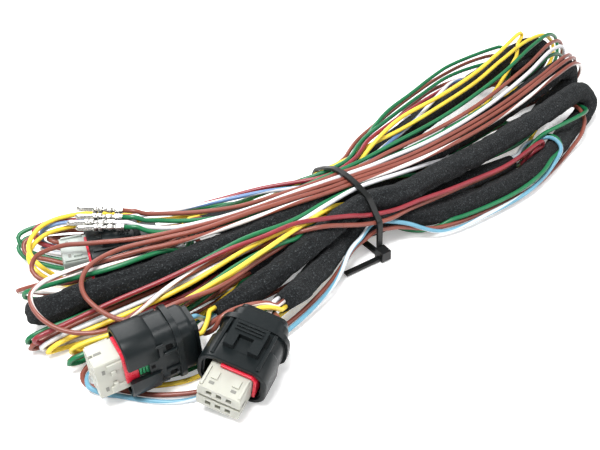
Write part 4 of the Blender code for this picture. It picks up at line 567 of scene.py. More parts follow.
# Further loose wires, laid between the others: colour and points
EXTRA_WIRES = {
    "wire_far_red": ("red", (
        (-60.3, 26.1, 12), (-64.8, 27.4, 12), (-68.9, 27.7, 10.8), (-72.7, 27.2, 9.2), (-76.3, 27.3, 7.3),
        (-84.2, 29.3, 1.9), (-88.9, 31.6, 1.2), (-97.9, 36.6, 1.2), (-108.3, 44.9, 1.9),
        (-111.7, 50.2, 5.5), (-120.2, 56, 8.5), (-123.7, 59.1, 10.7), (-123.2, 62.9, 14),
        (-118.8, 62.8, 15.5), (-114.2, 61.4, 15.9), (-96.4, 54, 14.4), (-78.5, 46.5, 13.4),
        (-60.3, 39.1, 13.8), (-46.4, 34.1, 15.6), (-28.2, 26.7, 18.7), (-7.1, 14.1, 22.7),
        (-2.4, 12.5, 23.4), (2.5, 11.9, 24), (7.4, 12.4, 24.4), (16.7, 15.1, 25.1), (25.8, 19.9, 26.5),
        (30.5, 21.8, 26.6), (54.2, 29.9, 25.2), (68.3, 35, 23.6), (86.9, 42, 20.6), (109.2, 51.5, 14.4),
        (118.8, 53.5, 11.9), (128.8, 53.9, 10.2), (139.3, 52.2, 10.5), (142.9, 49.9, 8.2),
        (147.6, 50.2, 8.2))),
    "wire_far_blue": ("white_blue", (
        (-59.9, 27.3, 14.2), (-64.4, 28.6, 14.2), (-68.6, 29.2, 12.9), (-78.9, 30, 5.5), (-85.6, 31.3, 1.9),
        (-90.2, 33.6, 1.8), (-97.6, 38.9, 1.8), (-99.1, 44.2, 1.8), (-103.9, 47.9, 2.6),
        (-113.2, 54.2, 4.5), (-117.6, 57.1, 6.2), (-121.3, 59.8, 9), (-120.2, 60.6, 13.9),
        (-115.7, 59.3, 15.7), (-111.1, 57.5, 16.2), (-97.3, 51.8, 15), (-79.3, 43.5, 15.4),
        (-61.2, 35.3, 16.7), (-47.6, 29.3, 18.4), (-29.4, 21.4, 20.5), (-11.3, 12.7, 21), (-1.8, 9.6, 21.2),
        (3.2, 9.2, 21.5), (8.1, 9.5, 21.8), (17.8, 11.6, 22.4), (36.9, 17.6, 22.8), (55.8, 23.7, 23.3),
        (69.8, 29.1, 24.2), (83.5, 35.2, 24.7), (96.7, 42, 23.2), (109.8, 47.6, 18.6), (118.9, 49.8, 14.8),
        (128.4, 51, 10.9), (138.5, 51.2, 8.6), (142.8, 51.1, 6), (147.5, 51.5, 6))),
    "wire_far_brown_2": ("brown", (
        (-59.9, 27.3, 9.8), (-64.4, 28.6, 9.8), (-68.5, 30.7, 7.7), (-82, 35.5, 1.8), (-86.4, 37.5, 1.3),
        (-94.4, 43, 1.8), (-98.1, 46.2, 3.3), (-110.4, 52.5, 7.1), (-118, 55.9, 10.2), (-118.9, 58.9, 10.1),
        (-115.8, 61, 7.7), (-107.3, 59.7, 5.4), (-98.2, 57.1, 4.3), (-84.5, 51.7, 3.5), (-70.8, 45.6, 2.5),
        (-52.3, 37.4, 1.7), (-28.7, 27.3, 4.8), (-14.5, 19.5, 6.9), (-10.1, 18, 6.9), (-0.9, 16.6, 6.9),
        (8.7, 17.4, 7.1), (18.1, 20.5, 7.4), (31.9, 27.2, 8.4), (49.3, 37.8, 10.5), (63.1, 44.4, 11.2),
        (81.8, 52.1, 11.3), (101, 58.5, 10.3), (116, 60, 9.7), (125.9, 58.9, 8.5), (134.7, 55.3, 5.1),
        (138.7, 52.4, 3.8), (142.9, 49.9, 3.8), (147.6, 50.2, 3.8))),
    "wire_fan_red": ("red", (
        (-58.3, -8, 10.3), (-63, -8.3, 10.3), (-68.1, -7.3, 11.6), (-73.1, -6.4, 11.7), (-82.7, -5.8, 8.5),
        (-92.4, -4.5, 7), (-106.9, -1.9, 6.3), (-126.3, 1.6, 5.6), (-140.3, 3.4, 5.3), (-144.8, 3.6, 5.5),
        (-149.1, 3.4, 8.6), (-149.8, 2.3, 11.5), (-136, 1.1, 13.7), (-116.5, -1.1, 16.6), (-97.2, -4.7, 20),
        (-82.7, -7.3, 23.2), (-68.2, -10, 26.4), (-53.4, -12.6, 27.9), (-38.4, -14.6, 29.4),
        (-28.5, -17.2, 28.7), (-12.4, -18.5, 24.4), (-3.7, -18.7, 21), (10.1, -20.3, 18.8),
        (24.9, -21, 18.6), (39.8, -21.7, 17.8), (54.7, -21.6, 17), (74.7, -21.1, 16), (84.5, -19.8, 15.8),
        (103.8, -15.9, 16.1), (108.2, -14.8, 14.6), (108.8, -14.6, 12), (103.6, -14.4, 10.4),
        (99.8, -13.7, 7.2), (97, -12.2, 3.8), (92.3, -12.2, 3.8))),
    "wire_fan_yellow_3": ("yellow", (
        (-58.5, -4.3, 8.2), (-63.2, -4.6, 8.2), (-68.3, -5.3, 9.1), (-82.1, -11.5, 9.4),
        (-91.9, -12.8, 8.6), (-106.7, -11.9, 7), (-126, -9.2, 5.1), (-135.3, -8.8, 5.5),
        (-139.7, -8.3, 8.2), (-138.3, -10.1, 10.8), (-134, -11.5, 12.2), (-124.7, -14.2, 13.5),
        (-100.8, -19.6, 19.1), (-86, -20.5, 22.1), (-71.2, -20.8, 25), (-56.2, -18.8, 26.5),
        (-41.4, -15.8, 26.9), (-31.6, -13.6, 26.5), (-13, -6.8, 22.3), (-3.5, -5.4, 19.2),
        (1.5, -5.1, 18.4), (21.8, -6, 17.3), (31.8, -5.4, 15.8), (46.7, -2.7, 14), (66.8, -1.1, 13.1),
        (91.9, 0.9, 12.5), (101.9, 2, 11.2), (111.5, 4.7, 7.9), (116.2, 7.2, 7.1), (119.4, 9.6, 4.3),
        (123.9, 11.6, 3.7), (128.9, 12.6, 3.8), (133.3, 14.1, 3.8))),
    "wire_fan_green_2": ("green", (
        (-58.5, -4.3, 3.8), (-63.2, -4.6, 3.8), (-67.8, -7, 5.5), (-75.2, -11.1, 10.5),
        (-79.4, -13.3, 11.2), (-84.1, -14.7, 11.2), (-89.1, -15.3, 10.6), (-98.9, -15.2, 8.9),
        (-123.5, -11.9, 6.1), (-133.4, -11.7, 4.5), (-138.4, -12.2, 4.5), (-143.1, -12.3, 6.3),
        (-141.3, -13.5, 9), (-136.6, -14.7, 10.2), (-122.2, -17.3, 12.3), (-112.6, -18, 14),
        (-88.5, -18.2, 19), (-69.4, -17, 23), (-54.7, -16.5, 24.2), (-44.5, -16.7, 23.9),
        (-39.5, -16.2, 22.8), (-30.2, -12.2, 22), (-25.4, -10.6, 20.4), (-21.2, -9.7, 17.5),
        (-16.6, -9, 16), (-7, -8.2, 14.4), (7.9, -6.1, 14.8), (22.8, -4, 15.5), (32.8, -2.9, 15),
        (47.8, 0.1, 13.8), (62.6, 2.6, 13.3), (77.2, 6.2, 12.7), (92.1, 8.4, 12.7), (107.5, 10.6, 12.5),
        (111.7, 10.6, 10.1), (121.3, 9.4, 7), (125, 9.7, 4.1), (129.7, 10.2, 3.8), (134.1, 11.7, 3.8))),
    "wire_far_green_2": ("green", (
        (-61.4, 22.5, 14.2), (-65.9, 23.8, 14.2), (-71, 24, 13), (-80, 26, 6), (-86.4, 26.5, 2),
        (-98.8, 32.2, 1.8), (-106.6, 37.4, 1.8), (-109.4, 40.2, 1.8), (-110.7, 45.6, 1.8),
        (-114.6, 49.5, 1.8), (-118.6, 53, 2.4), (-126.5, 59.8, 5), (-129.3, 63.3, 7.4), (-129.3, 67, 10.7),
        (-124.7, 67.3, 12.2), (-114.8, 64.8, 12.6), (-100.4, 60.2, 10.8), (-86, 55.1, 9.9),
        (-62.1, 46.1, 8.9), (-38, 36.5, 8.1), (-27.5, 32.6, 7.2), (-22.3, 29.4, 6.5), (-17.8, 24.8, 7),
        (-13.7, 21.3, 8), (-6.1, 19.2, 7.9), (1.9, 18.9, 7.7), (9.3, 19.7, 8), (12.9, 21.7, 8.6),
        (16.9, 24.9, 11), (21.5, 27, 14.2), (31.1, 30, 18.1), (44.4, 36.5, 20.4), (57.7, 42.8, 20.9),
        (80.5, 52, 18.7), (103.5, 61.1, 17), (117.6, 65.6, 16), (137.2, 68.7, 14.5), (156.8, 70.6, 12.7),
        (161.7, 70.5, 12.1), (163.2, 67, 11.5), (156.5, 59.2, 12), (149.2, 51.2, 13.5), (145.9, 47.1, 12.4),
        (143.3, 44.9, 8.2), (148, 45.2, 8.2))),
    "wire_far_yellow_2": ("yellow", (
        (-59.2, 29.7, 14.2), (-63.7, 31, 14.2), (-67.7, 30.9, 11.3), (-75.3, 27.6, 5.2), (-84.2, 23.2, 1.2),
        (-89.6, 23.8, 1.2), (-99.9, 26.9, 1.2), (-114.3, 32.6, 1.4), (-118.7, 35.1, 1.9), (-122.9, 37.8, 4),
        (-129.1, 43.3, 9.7), (-130.7, 47.3, 12.4), (-130.4, 51.9, 14.5), (-127.4, 55.5, 16.2),
        (-123.2, 58, 17.4), (-118.4, 59.3, 18.1), (-113.5, 59.4, 18.3), (-103.7, 58.3, 17.3),
        (-94.4, 55.9, 15), (-85.3, 52.4, 13.2), (-76.5, 48, 12), (-63.5, 40.8, 10.9), (-46.6, 30.8, 10),
        (-33.3, 24.9, 7.3), (-25, 19.8, 5.8), (-16.2, 15.3, 6.6), (-11.5, 14, 7.4), (-7, 12.7, 9.2),
        (-3, 9.7, 13.4), (2.2, 9.1, 14.6), (7, 9.8, 16.6), (15.3, 13.3, 21.3), (24.3, 16.3, 25),
        (33.6, 19.4, 27.3), (43, 22.6, 28.4), (52.7, 24.8, 29.2), (77.5, 27.9, 29.8), (97, 32.1, 29.8),
        (111.4, 35.9, 30.1), (130.3, 42, 31), (153.6, 49.8, 32.1), (155, 49.8, 30.2), (150.6, 47.9, 28),
        (143.7, 41.6, 25.1), (139.6, 39.7, 23.2), (126.7, 35, 17.2), (113.5, 30.4, 11.8), (108.9, 29, 10.3),
        (104.3, 28.1, 10.3))),
    "wire_turn_green": ("green", (
        (-61.3, -37.1, 13.1), (-65.6, -38.7, 13.8), (-69.5, -38.2, 11.5), (-73.2, -39, 7.9),
        (-78.1, -38.8, 4.6), (-82.9, -37.9, 3.9), (-86.6, -34.5, 4.6), (-86.7, -29.9, 3.7),
        (-83.2, -26.7, 3), (-78.3, -25.8, 2.5), (-58.8, -26.1, 2.2), (-44.3, -24.9, 3), (-30.6, -19.4, 3.2),
        (-17.4, -12.2, 4.8), (-12.8, -10.7, 5.4), (-7.8, -10.1, 5.8), (2.4, -10, 5.8), (7.2, -10.3, 5.5),
        (11.9, -11.5, 4.7), (16.3, -13.7, 3.1), (20.4, -18, 1.9), (24.8, -22.2, 1.9), (29.6, -24.8, 2.6),
        (34.6, -26.1, 3.4), (39.9, -27.7, 5.3), (45.2, -28.9, 5.6), (66.2, -30.2, 5.9), (81.7, -29.9, 6.8),
        (96.8, -27.4, 8.5), (106.5, -23.5, 9.9), (117.2, -19.3, 9.9), (119.2, -13.9, 12), (118, -8.3, 11),
        (112.6, -7.6, 8.1), (107.3, -8.6, 6.1), (97, -12.2, 3.8), (92.3, -12.2, 3.8))),
    "wire_turn_brown": ("brown_white", (
        (-60.5, -38.2, 15.2), (-64.9, -39.7, 16), (-68.3, -38, 18), (-77.9, -34.2, 18.1),
        (-86.4, -33.6, 17.1), (-90.4, -34.2, 13.2), (-93.3, -31.5, 10.1), (-93.5, -26.8, 8),
        (-90.7, -22.9, 6.3), (-86.1, -21.2, 5.3), (-81.2, -20.4, 4.6), (-66.2, -20.9, 3.7),
        (-46.2, -21.2, 4.5), (-36.6, -18.7, 4.6), (-18, -10.8, 3), (-3, -8.1, 3.3), (4.3, -7.5, 3.1),
        (8.7, -7.7, 2.7), (13.7, -8.9, 1.6), (28.7, -22.1, 1.3), (33.8, -24.6, 1.3), (44.2, -26.8, 1.3),
        (65.1, -27.9, 1.2), (70, -26.4, 1.2), (74.9, -20.4, 1.2), (79.8, -19, 1.2), (94.6, -17.9, 1.2),
        (99.7, -16.4, 1.2), (104.5, -13.8, 1.2), (108.8, -11.2, 2.3), (112.2, -8.2, 4.3),
        (110.1, -4.9, 6.6), (105.7, -6, 5.5), (101.5, -8.1, 4), (97, -9.8, 3.8), (92.3, -9.8, 3.8))),
}


# Meshes along strands

LEAST_STEP = 0.05          # points nearer to each other than this are one


def centre_line(points, step):
    line = smooth_curve(points, step)
    return line[np.concatenate([[True], np.linalg.norm(np.diff(line, axis=0), axis=1) > LEAST_STEP])]


def carried_frames(line):
    """Tangent and two directions across it at each point, carried along without twist."""
    tangent = np.gradient(line, axis=0)
    tangent /= np.linalg.norm(tangent, axis=1)[:, None]
    side = np.cross(tangent[0], (0.0, 0.0, 1.0))
    if np.linalg.norm(side) < 0.1:
        side = np.cross(tangent[0], (0.0, 1.0, 0.0))
    sides = [side / np.linalg.norm(side)]
    for t in tangent[1:]:
        side = sides[-1] - t * (sides[-1] @ t)
        sides.append(side / np.linalg.norm(side))
    sides = np.array(sides)
    return tangent, sides, np.cross(tangent, sides)


def mesh_from(name, vertices, faces, uv=None):
    mesh = bpy.data.meshes.new(name)
    mesh.from_pydata([tuple(v) for v in vertices], [], faces)
    if uv is not None:
        layer = mesh.uv_layers.new(name="UVMap")
        layer.data.foreach_set("uv", np.array(uv, float).ravel())
    mesh.update()
    made = bpy.data.objects.new(name, mesh)
    bpy.context.scene.collection.objects.link(made)
    mesh.shade_smooth()
    return made


def sleeve(name, line, radii, sides):
    """A closed tube of varying radius. radii is one row of radii for each point of the line."""
    _, across, up = carried_frames(line)
    turns = np.linspace(0.0, 2.0 * math.pi, sides, endpoint=False)
    ring = across[:, None, :] * np.cos(turns)[None, :, None] + up[:, None, :] * np.sin(turns)[None, :, None]
    vertices = (line[:, None, :] + ring * radii[:, :, None]).reshape(-1, 3) * MM
    vertices = np.vstack([vertices, line[:1] * MM, line[-1:] * MM])
    along = lengths_along(line)
    faces, uv = [], []
    for i in range(len(line) - 1):
        for k in range(sides):
            n = (k + 1) % sides
            faces.append((i * sides + n, (i + 1) * sides + n, (i + 1) * sides + k, i * sides + k))
            corners = ((i, k + 1), (i + 1, k + 1), (i + 1, k), (i, k))
            uv += [(turn / sides, along[row]) for row, turn in corners]
    last_ring = (len(line) - 1) * sides
    first_tip, last_tip = len(line) * sides, len(line) * sides + 1
    for k in range(sides):
        n = (k + 1) % sides
        faces += [(n, k, first_tip), (last_ring + k, last_ring + n, last_tip)]
        uv += [((k + 1) / sides, 0.0), (k / sides, 0.0), (0.5, 0.0)]
        uv += [(k / sides, along[-1]), ((k + 1) / sides, along[-1]), (0.5, along[-1])]
    return mesh_from(name, vertices, faces, uv)


# Camera, floor and light

CAMERA_TARGET = Vector((-0.0158, 0.0143, 0.0))
CAMERA_AZIMUTH = -35.0
CAMERA_ELEVATION = 38.0
CAMERA_DISTANCE = 0.48
CAMERA_LENS = 62.6
WORLD_STRENGTH = 0.42
LIGHTS = {                 # place in metres, size and power
    "key": ((-0.28, -0.12, 0.75), 0.32, 8.6),
    "fill": ((0.5, -0.5, 0.5), 0.6, 2.2),
    "back": ((0.1, 0.6, 0.5), 0.5, 3.6),
}
AIM = Vector((0.0, 0.0, 0.01))
FLOOR_REACH = 3.0
FLOOR_GREY = 0.93
FLOOR_GLOW = 0.32          # what the camera alone sees on top of the light on the floor


def set_camera():
    azimuth, elevation = math.radians(CAMERA_AZIMUTH), math.radians(CAMERA_ELEVATION)
    back = Vector((math.sin(azimuth) * math.cos(elevation), -math.cos(azimuth) * math.cos(elevation),
                   math.sin(elevation)))
    data = bpy.data.cameras.new("camera")
    data.lens = CAMERA_LENS
    data.clip_start = 0.01
    camera = bpy.data.objects.new("camera", data)
    camera.location = CAMERA_TARGET + back * CAMERA_DISTANCE
    camera.rotation_euler = back.to_track_quat("Z", "Y").to_euler()
    bpy.context.scene.collection.objects.link(camera)
    bpy.context.scene.camera = camera


def set_light():
    world = bpy.data.worlds.new("world")
    world.use_nodes = True
    background = world.node_tree.nodes["Background"]
    background.inputs["Color"].default_value = (1.0, 1.0, 1.0, 1.0)
    background.inputs["Strength"].default_value = WORLD_STRENGTH
    bpy.context.scene.world = world
    for name, (place, size, power) in LIGHTS.items():
        data = bpy.data.lights.new(name, "AREA")
        data.energy, data.size = power, size
        light = bpy.data.objects.new(name, data)
        light.location = place
        light.rotation_euler = (Vector(place) - AIM).to_track_quat("Z", "Y").to_euler()
        bpy.context.scene.collection.objects.link(light)
    bpy.context.scene.view_settings.view_transform = "Standard"


def set_floor():
    corners = [(x * FLOOR_REACH, y * FLOOR_REACH, 0) for x, y in ((-1, -1), (1, -1), (1, 1), (-1, 1))]
    floor = mesh_from("floor", corners, ((0, 1, 2, 3),))
    paint = Paint("floor")
    paint.set("Base Color", (FLOOR_GREY, FLOOR_GREY, FLOOR_GREY, 1.0))
    paint.set("Roughness", 0.9)
    paint.set("Specular IOR Level", 0.1)
    paint.set("Emission Color", (1.0, 1.0, 1.0, 1.0))
    seen = paint.node("ShaderNodeLightPath").outputs["Is Camera Ray"]
    paint.set("Emission Strength", paint.maths("MULTIPLY", seen, FLOOR_GLOW))
    floor.data.materials.append(paint.material)


# Materials

STRIPE_TWIST = 0.012       # turns of a tracer stripe in a millimetre
STRIPE_WIDTH = 0.17        # half of its share of the way round
STRIPE_EDGE = 0.02


class Paint:
    """A short way to build a material from nodes."""

    def __init__(self, name, metallic=0.0):
        self.material = bpy.data.materials.new(name)
        self.material.use_nodes = True
        self.tree = self.material.node_tree
        self.shader = self.tree.nodes["Principled BSDF"]
        self.set("Metallic", metallic)

    def node(self, kind, settings=None, **inputs):
        made = self.tree.nodes.new(kind)
        for key, value in (settings or {}).items():
            setattr(made, key, value)
        for key, value in inputs.items():
            self.plug(made, key.replace("_", " "), value)
        return made

    def plug(self, node, key, value):
        """Links or sets an input, given by its name or its number."""
        if isinstance(value, bpy.types.NodeSocket):
            self.tree.links.new(value, node.inputs[key])
        else:
            node.inputs[key].default_value = value

    def coordinates(self, source):
        return self.node("ShaderNodeTexCoord").outputs[source]

    def noise(self, scale, detail=3.0, roughness=0.6):
        return self.node("ShaderNodeTexNoise", Vector=self.coordinates("Object"), Scale=scale, Detail=detail,
                         Roughness=roughness).outputs["Fac"]

    def maths(self, operation, *values):
        made = self.node("ShaderNodeMath", {"operation": operation})
        for k, value in enumerate(values):
            self.plug(made, k, value)
        return made.outputs[0]

    def spread(self, value, low=0.3, high=0.7, to_low=0.0, to_high=1.0):
        return self.node("ShaderNodeMapRange", Value=value, From_Min=low, From_Max=high, To_Min=to_low,
                         To_Max=to_high).outputs[0]

    def mix(self, amount, first, second):
        made = self.node("ShaderNodeMix", {"data_type": "RGBA"})
        for key, value in ((0, amount), (6, first), (7, second)):
            self.plug(made, key, value)
        return made.outputs[2]

    def set(self, key, value):
        self.plug(self.shader, key, value)

    def bump(self, height, strength, distance):
        made = self.node("ShaderNodeBump", Height=height, Strength=strength, Distance=distance)
        self.set("Normal", made.outputs[0])


def rgba(colour, factor=1.0):
    return (*(min(v * factor, 1.0) for v in colour), 1.0)


def wire_paint(name, base, stripe=None):
    """Extruded insulation: slight marks along the wire, and a tracer stripe on some."""
    paint = Paint("paint_" + name)
    colour = paint.mix(paint.spread(paint.noise(90.0, 4.0)), rgba(base, 0.86), rgba(base, 1.12))
    if stripe:
        around = paint.node("ShaderNodeSeparateXYZ", Vector=paint.coordinates("UV")).outputs
        twist = paint.maths("MULTIPLY", around[1], STRIPE_TWIST)
        turn = paint.maths("FRACT", paint.maths("ADD", around[0], twist))
        off = paint.maths("ABSOLUTE", paint.maths("SUBTRACT", turn, 0.5))
        plain = paint.spread(off, STRIPE_WIDTH, STRIPE_WIDTH + STRIPE_EDGE, 1.0, 0.0)
        colour = paint.mix(plain, colour, rgba(stripe))
    paint.set("Base Color", colour)
    paint.set("Roughness", paint.spread(paint.noise(900.0, 2.0), to_low=0.26, to_high=0.42))
    paint.set("Specular IOR Level", 0.4)
    paint.set("Coat Weight", 0.1)
    paint.set("Coat Roughness", 0.25)
    paint.bump(paint.noise(700.0), 0.12, 0.0002)
    return paint.material


def fleece_paint():
    """Black fleece tape: matted fibres, with painted glints on a few of them."""
    paint = Paint("paint_fleece")
    grain = paint.noise(1250.0, 4.0, 0.7)
    fibre = paint.noise(3200.0, 4.0, 0.75)
    patch = paint.spread(paint.noise(140.0))
    colour = paint.mix(patch, rgba((0.003, 0.004, 0.005)), rgba((0.008, 0.009, 0.010)))
    colour = paint.mix(paint.spread(grain, 0.46, 0.70), colour, rgba((0.024, 0.029, 0.032)))
    # light grey specks in the base colour: painted glints of single fibres
    fibre_glint = paint.maths("MULTIPLY", paint.spread(fibre, 0.52, 0.66), paint.spread(grain, 0.55, 0.66))
    paint.set("Base Color", paint.mix(fibre_glint, colour, rgba((0.26, 0.28, 0.29))))
    paint.set("Roughness", 0.95)
    paint.set("Specular IOR Level", 0.12)
    paint.set("Sheen Weight", 0.06)
    paint.set("Sheen Roughness", 0.6)
    paint.bump(paint.maths("ADD", grain, paint.maths("MULTIPLY", fibre, 0.4)), 0.9, 0.0011)
    return paint.material


def moulded_paint(name, base, roughness, grain=0.06, glow=0.0, shine=0.5):
    """Injection moulded plastic with a fine spark eroded grain."""
    paint = Paint("paint_" + name)
    paint.set("Base Color", paint.mix(paint.spread(paint.noise(60.0)), rgba(base, 0.9), rgba(base, 1.1)))
    fine = paint.noise(1500.0, 2.0)
    paint.set("Roughness", paint.spread(fine, to_low=roughness - 0.07, to_high=roughness + 0.07))
    paint.set("Specular IOR Level", shine)
    if glow:
        paint.set("Subsurface Weight", glow)
        paint.set("Subsurface Radius", (0.004, 0.004, 0.003))
        paint.set("Subsurface Scale", 0.6)
    paint.bump(paint.noise(2400.0), grain, 0.0002)
    return paint.material


def metal_paint():
    paint = Paint("paint_metal", 1.0)
    patch = paint.spread(paint.noise(400.0))
    paint.set("Base Color", paint.mix(patch, rgba((0.58, 0.57, 0.54)), rgba((0.80, 0.79, 0.76))))
    paint.set("Roughness", paint.spread(paint.noise(900.0), to_low=0.18, to_high=0.38))
    paint.bump(paint.noise(800.0), 0.1, 0.0002)
    return paint.material


# Strands

WIRE_PAINTS = {            # colour of the insulation and of its tracer stripe
    "brown": ((0.235, 0.066, 0.046), None), "green": ((0.010, 0.155, 0.058), None),
    "yellow": ((0.88, 0.63, 0.06), None), "white": ((0.72, 0.72, 0.75), None),
    "blue": ((0.14, 0.34, 0.46), (0.62, 0.68, 0.72)),
    "brown_white": ((0.235, 0.066, 0.046), (0.82, 0.76, 0.74)),
    "white_blue": ((0.72, 0.73, 0.76), (0.12, 0.22, 0.42)), "red": ((0.25, 0.024, 0.034), None),
}
WIRE_RINGS = 1.7           # spacing of the rings of a wire's mesh
TAPE_RINGS = 0.9
WIRE_FACETS = 12
TAPE_FACETS = 56
END_REACH = 0.2            # how much nearer to a face the wires go than their solids
TAPE_PITCH = 9.5           # width that each turn of the tape leaves bare
TAPE_EDGE = 0.34           # height of the edge of a turn
LUMP = 0.20                # how far the wires inside show through the tape
UNDER_EDGE = 0.28          # how much thinner the tape lies than the solid, between its edges
CREASE = 1.5               # depth of the creases
END_ROUND = 1.6            # length over which an end is drawn in
END_DRAW = 0.22            # and how far, as a share of the radius


def tape_radii(line, radius, seed):
    """Radius of a taped run along it and round it: turns of tape over the wires inside, ends drawn in."""
    along = lengths_along(line)[:, None]
    turn = np.linspace(0.0, 2.0 * math.pi, TAPE_FACETS, endpoint=False)[None, :]
    phase = along / TAPE_PITCH + turn / (2.0 * math.pi) + 0.12 * np.sin(along / 31.0 + seed)
    saw = phase - np.floor(phase)
    edge = TAPE_EDGE * (1.0 - saw) * np.clip(saw * 9.0, 0.0, 1.0)
    twist = along / 55.0 + seed
    lumps = LUMP * (np.sin(5.0 * turn + 3.0 * twist) + 0.7 * np.sin(8.0 * turn - 2.1 * twist + seed))
    lumps += 0.12 * np.sin(along / 6.5 + 2.0 * turn + seed) + 0.12 * np.sin(along / 2.9 - 3.0 * turn)
    crease = np.clip(np.sin(along / 4.3 + 1.3 * np.sin(2.0 * turn + seed)) - 0.72, 0.0, 1.0)
    crease = crease * np.clip(np.sin(turn - 2.0 * twist + 0.8 * np.sin(along / 17.0)), 0.0, 1.0)
    radii = radius - UNDER_EDGE + edge + lumps - CREASE * crease
    near_end = np.clip(1.0 - np.minimum(along, along[-1] - along) / END_ROUND, 0.0, 1.0)
    return radii * (1.0 - END_DRAW * near_end ** 2)


def declare(piece):
    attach(piece, "root")


def make_tape(name, points, diameter, seed, paint):
    line = centre_line(points, TAPE_RINGS)
    piece = sleeve(name + "_tape", line, tape_radii(line, 0.5 * diameter, seed), TAPE_FACETS)
    piece.data.materials.append(paint)
    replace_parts(piece, name)
    declare(piece)


def make_wire(name, points, colour, paints):
    line = centre_line(points, WIRE_RINGS)
    radii = np.full((len(line), WIRE_FACETS), 0.5 * WIRE_DIAMETER)
    piece = sleeve(name + "_insulation", line, radii, WIRE_FACETS)
    piece.data.materials.append(paints[colour])
    declare(piece)
    return piece


def make_strands(layout):
    fleece = fleece_paint()
    for index, (name, (diameter, _)) in enumerate(TRUNKS.items()):
        make_tape(name, layout[name], diameter, 1.7 * index, fleece)
    paints = {colour: wire_paint(colour, *look) for colour, look in WIRE_PAINTS.items()}
    for name, (colour, *_) in all_wires().items():
        points = layout[name].copy()
        for end, inner in ((0, 1), (-1, -2)):
            out = points[end] - points[inner]
            points[end] += out / np.linalg.norm(out) * END_REACH
        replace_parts(make_wire(name, points, colour, paints), name)
    for name, (colour, points) in EXTRA_WIRES.items():
        make_wire(name, points, colour, paints)


# Rigid pieces

COLLAR_START = 9.5
COLLAR_SWELL = 1.1
COLLAR_LIP = 0.7           # how far the collar's front reaches inwards over the rim
COLLAR_ARC = 8
BAR_ARC = 3
MOULDED = {                # colour, roughness, grain, depth that light goes in, shine
    "housing": ((0.007, 0.010, 0.011), 0.36, 0.06, 0.0, 0.28),
    "carrier": ((0.46, 0.46, 0.405), 0.36, 0.04, 0.2),
    "carrier_grey": ((0.34, 0.38, 0.35), 0.36, 0.04, 0.2),
    "lock": ((0.66, 0.02, 0.045), 0.3, 0.03, 0.1),
    "seal": ((0.03, 0.33, 0.13), 0.5, 0.03),
    "mat": ((0.33, 0.34, 0.36), 0.6),
    "tie": ((0.008, 0.009, 0.009), 0.36, 0.04, 0.0, 0.35),
    "shade": ((0.20, 0.20, 0.18), 0.6),
    # painted shade of recesses: a darker, duller copy of the housing's black
    "recess_shade": ((0.003, 0.003, 0.003), 0.7, 0.06, 0.0, 0.1),
}
EDGES = (("housing", "housing", 0.35), ("lock", "lock", 0.25), ("seal_ring", "seal", 0.3),
         ("wire_seal", "mat", 0.2), ("rear_cover", "housing", 0.3))   # piece, paint and rounding
CARRIER_EDGE = 0.3
TIE_EDGE = 0.25

def soften(thing, width):
    """Rounds the edges of a solid whose flat faces are made whole again first."""
    weld = thing.modifiers.new("weld", "WELD")
    weld.merge_threshold = 0.00002
    whole = thing.modifiers.new("whole", "DECIMATE")
    whole.decimate_type = "DISSOLVE"
    whole.angle_limit = math.radians(1.0)
    bevel = thing.modifiers.new("edge", "BEVEL")
    bevel.width = width * MM
    bevel.segments = 2
    bevel.limit_method = "ANGLE"
    bevel.angle_limit = math.radians(28.0)
    bevel.use_clamp_overlap = True
    thing.data.shade_smooth()
    normals = thing.modifiers.new("normals", "WEIGHTED_NORMAL")
    normals.keep_sharp = True


def dress(node, paint, width):
    node.material_slots[0].material = paint
    soften(node, width)


def rounded(width, height, corner, arc, centre=(0.0, 0.0)):
    """Outline of a rectangle with round corners of arc steps each."""
    outline = []
    for quarter, (sy, sz) in enumerate(((1, 1), (-1, 1), (-1, -1), (1, -1))):
        cy, cz = sy * (0.5 * width - corner) + centre[0], sz * (0.5 * height - corner) + centre[1]
        for k in range(arc + 1):
            angle = math.radians(90.0 * quarter + 90.0 * k / arc)
            outline.append((cy + corner * math.cos(angle), cz + corner * math.sin(angle)))
    return outline


def placed(name, frame, points, faces, paint):
    """A piece from points in millimetres, given in a connector's or pin's frame."""
    made = mesh_from(name, [tuple((frame @ Vector(p)) * MM) for p in points], faces)
    made.data.materials.append(paint)
    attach(made, "root")
    return made


def loft(name, frame, sections, paint, slot):
    """A closed body from outlines of equal length, given as (x, outline)."""
    points = [(x, y, z) for x, outline in sections for y, z in outline]
    count = len(sections[0][1])
    faces = []
    for row in range(len(sections) - 1):
        for k in range(count):
            n = (k + 1) % count
            a, b = row * count, (row + 1) * count
            faces.append((a + k, a + n, b + n, b + k))
    faces += [tuple(range(count))[::-1], tuple(range(len(points) - count, len(points)))]
    return placed(name, frame, points, faces, paint)


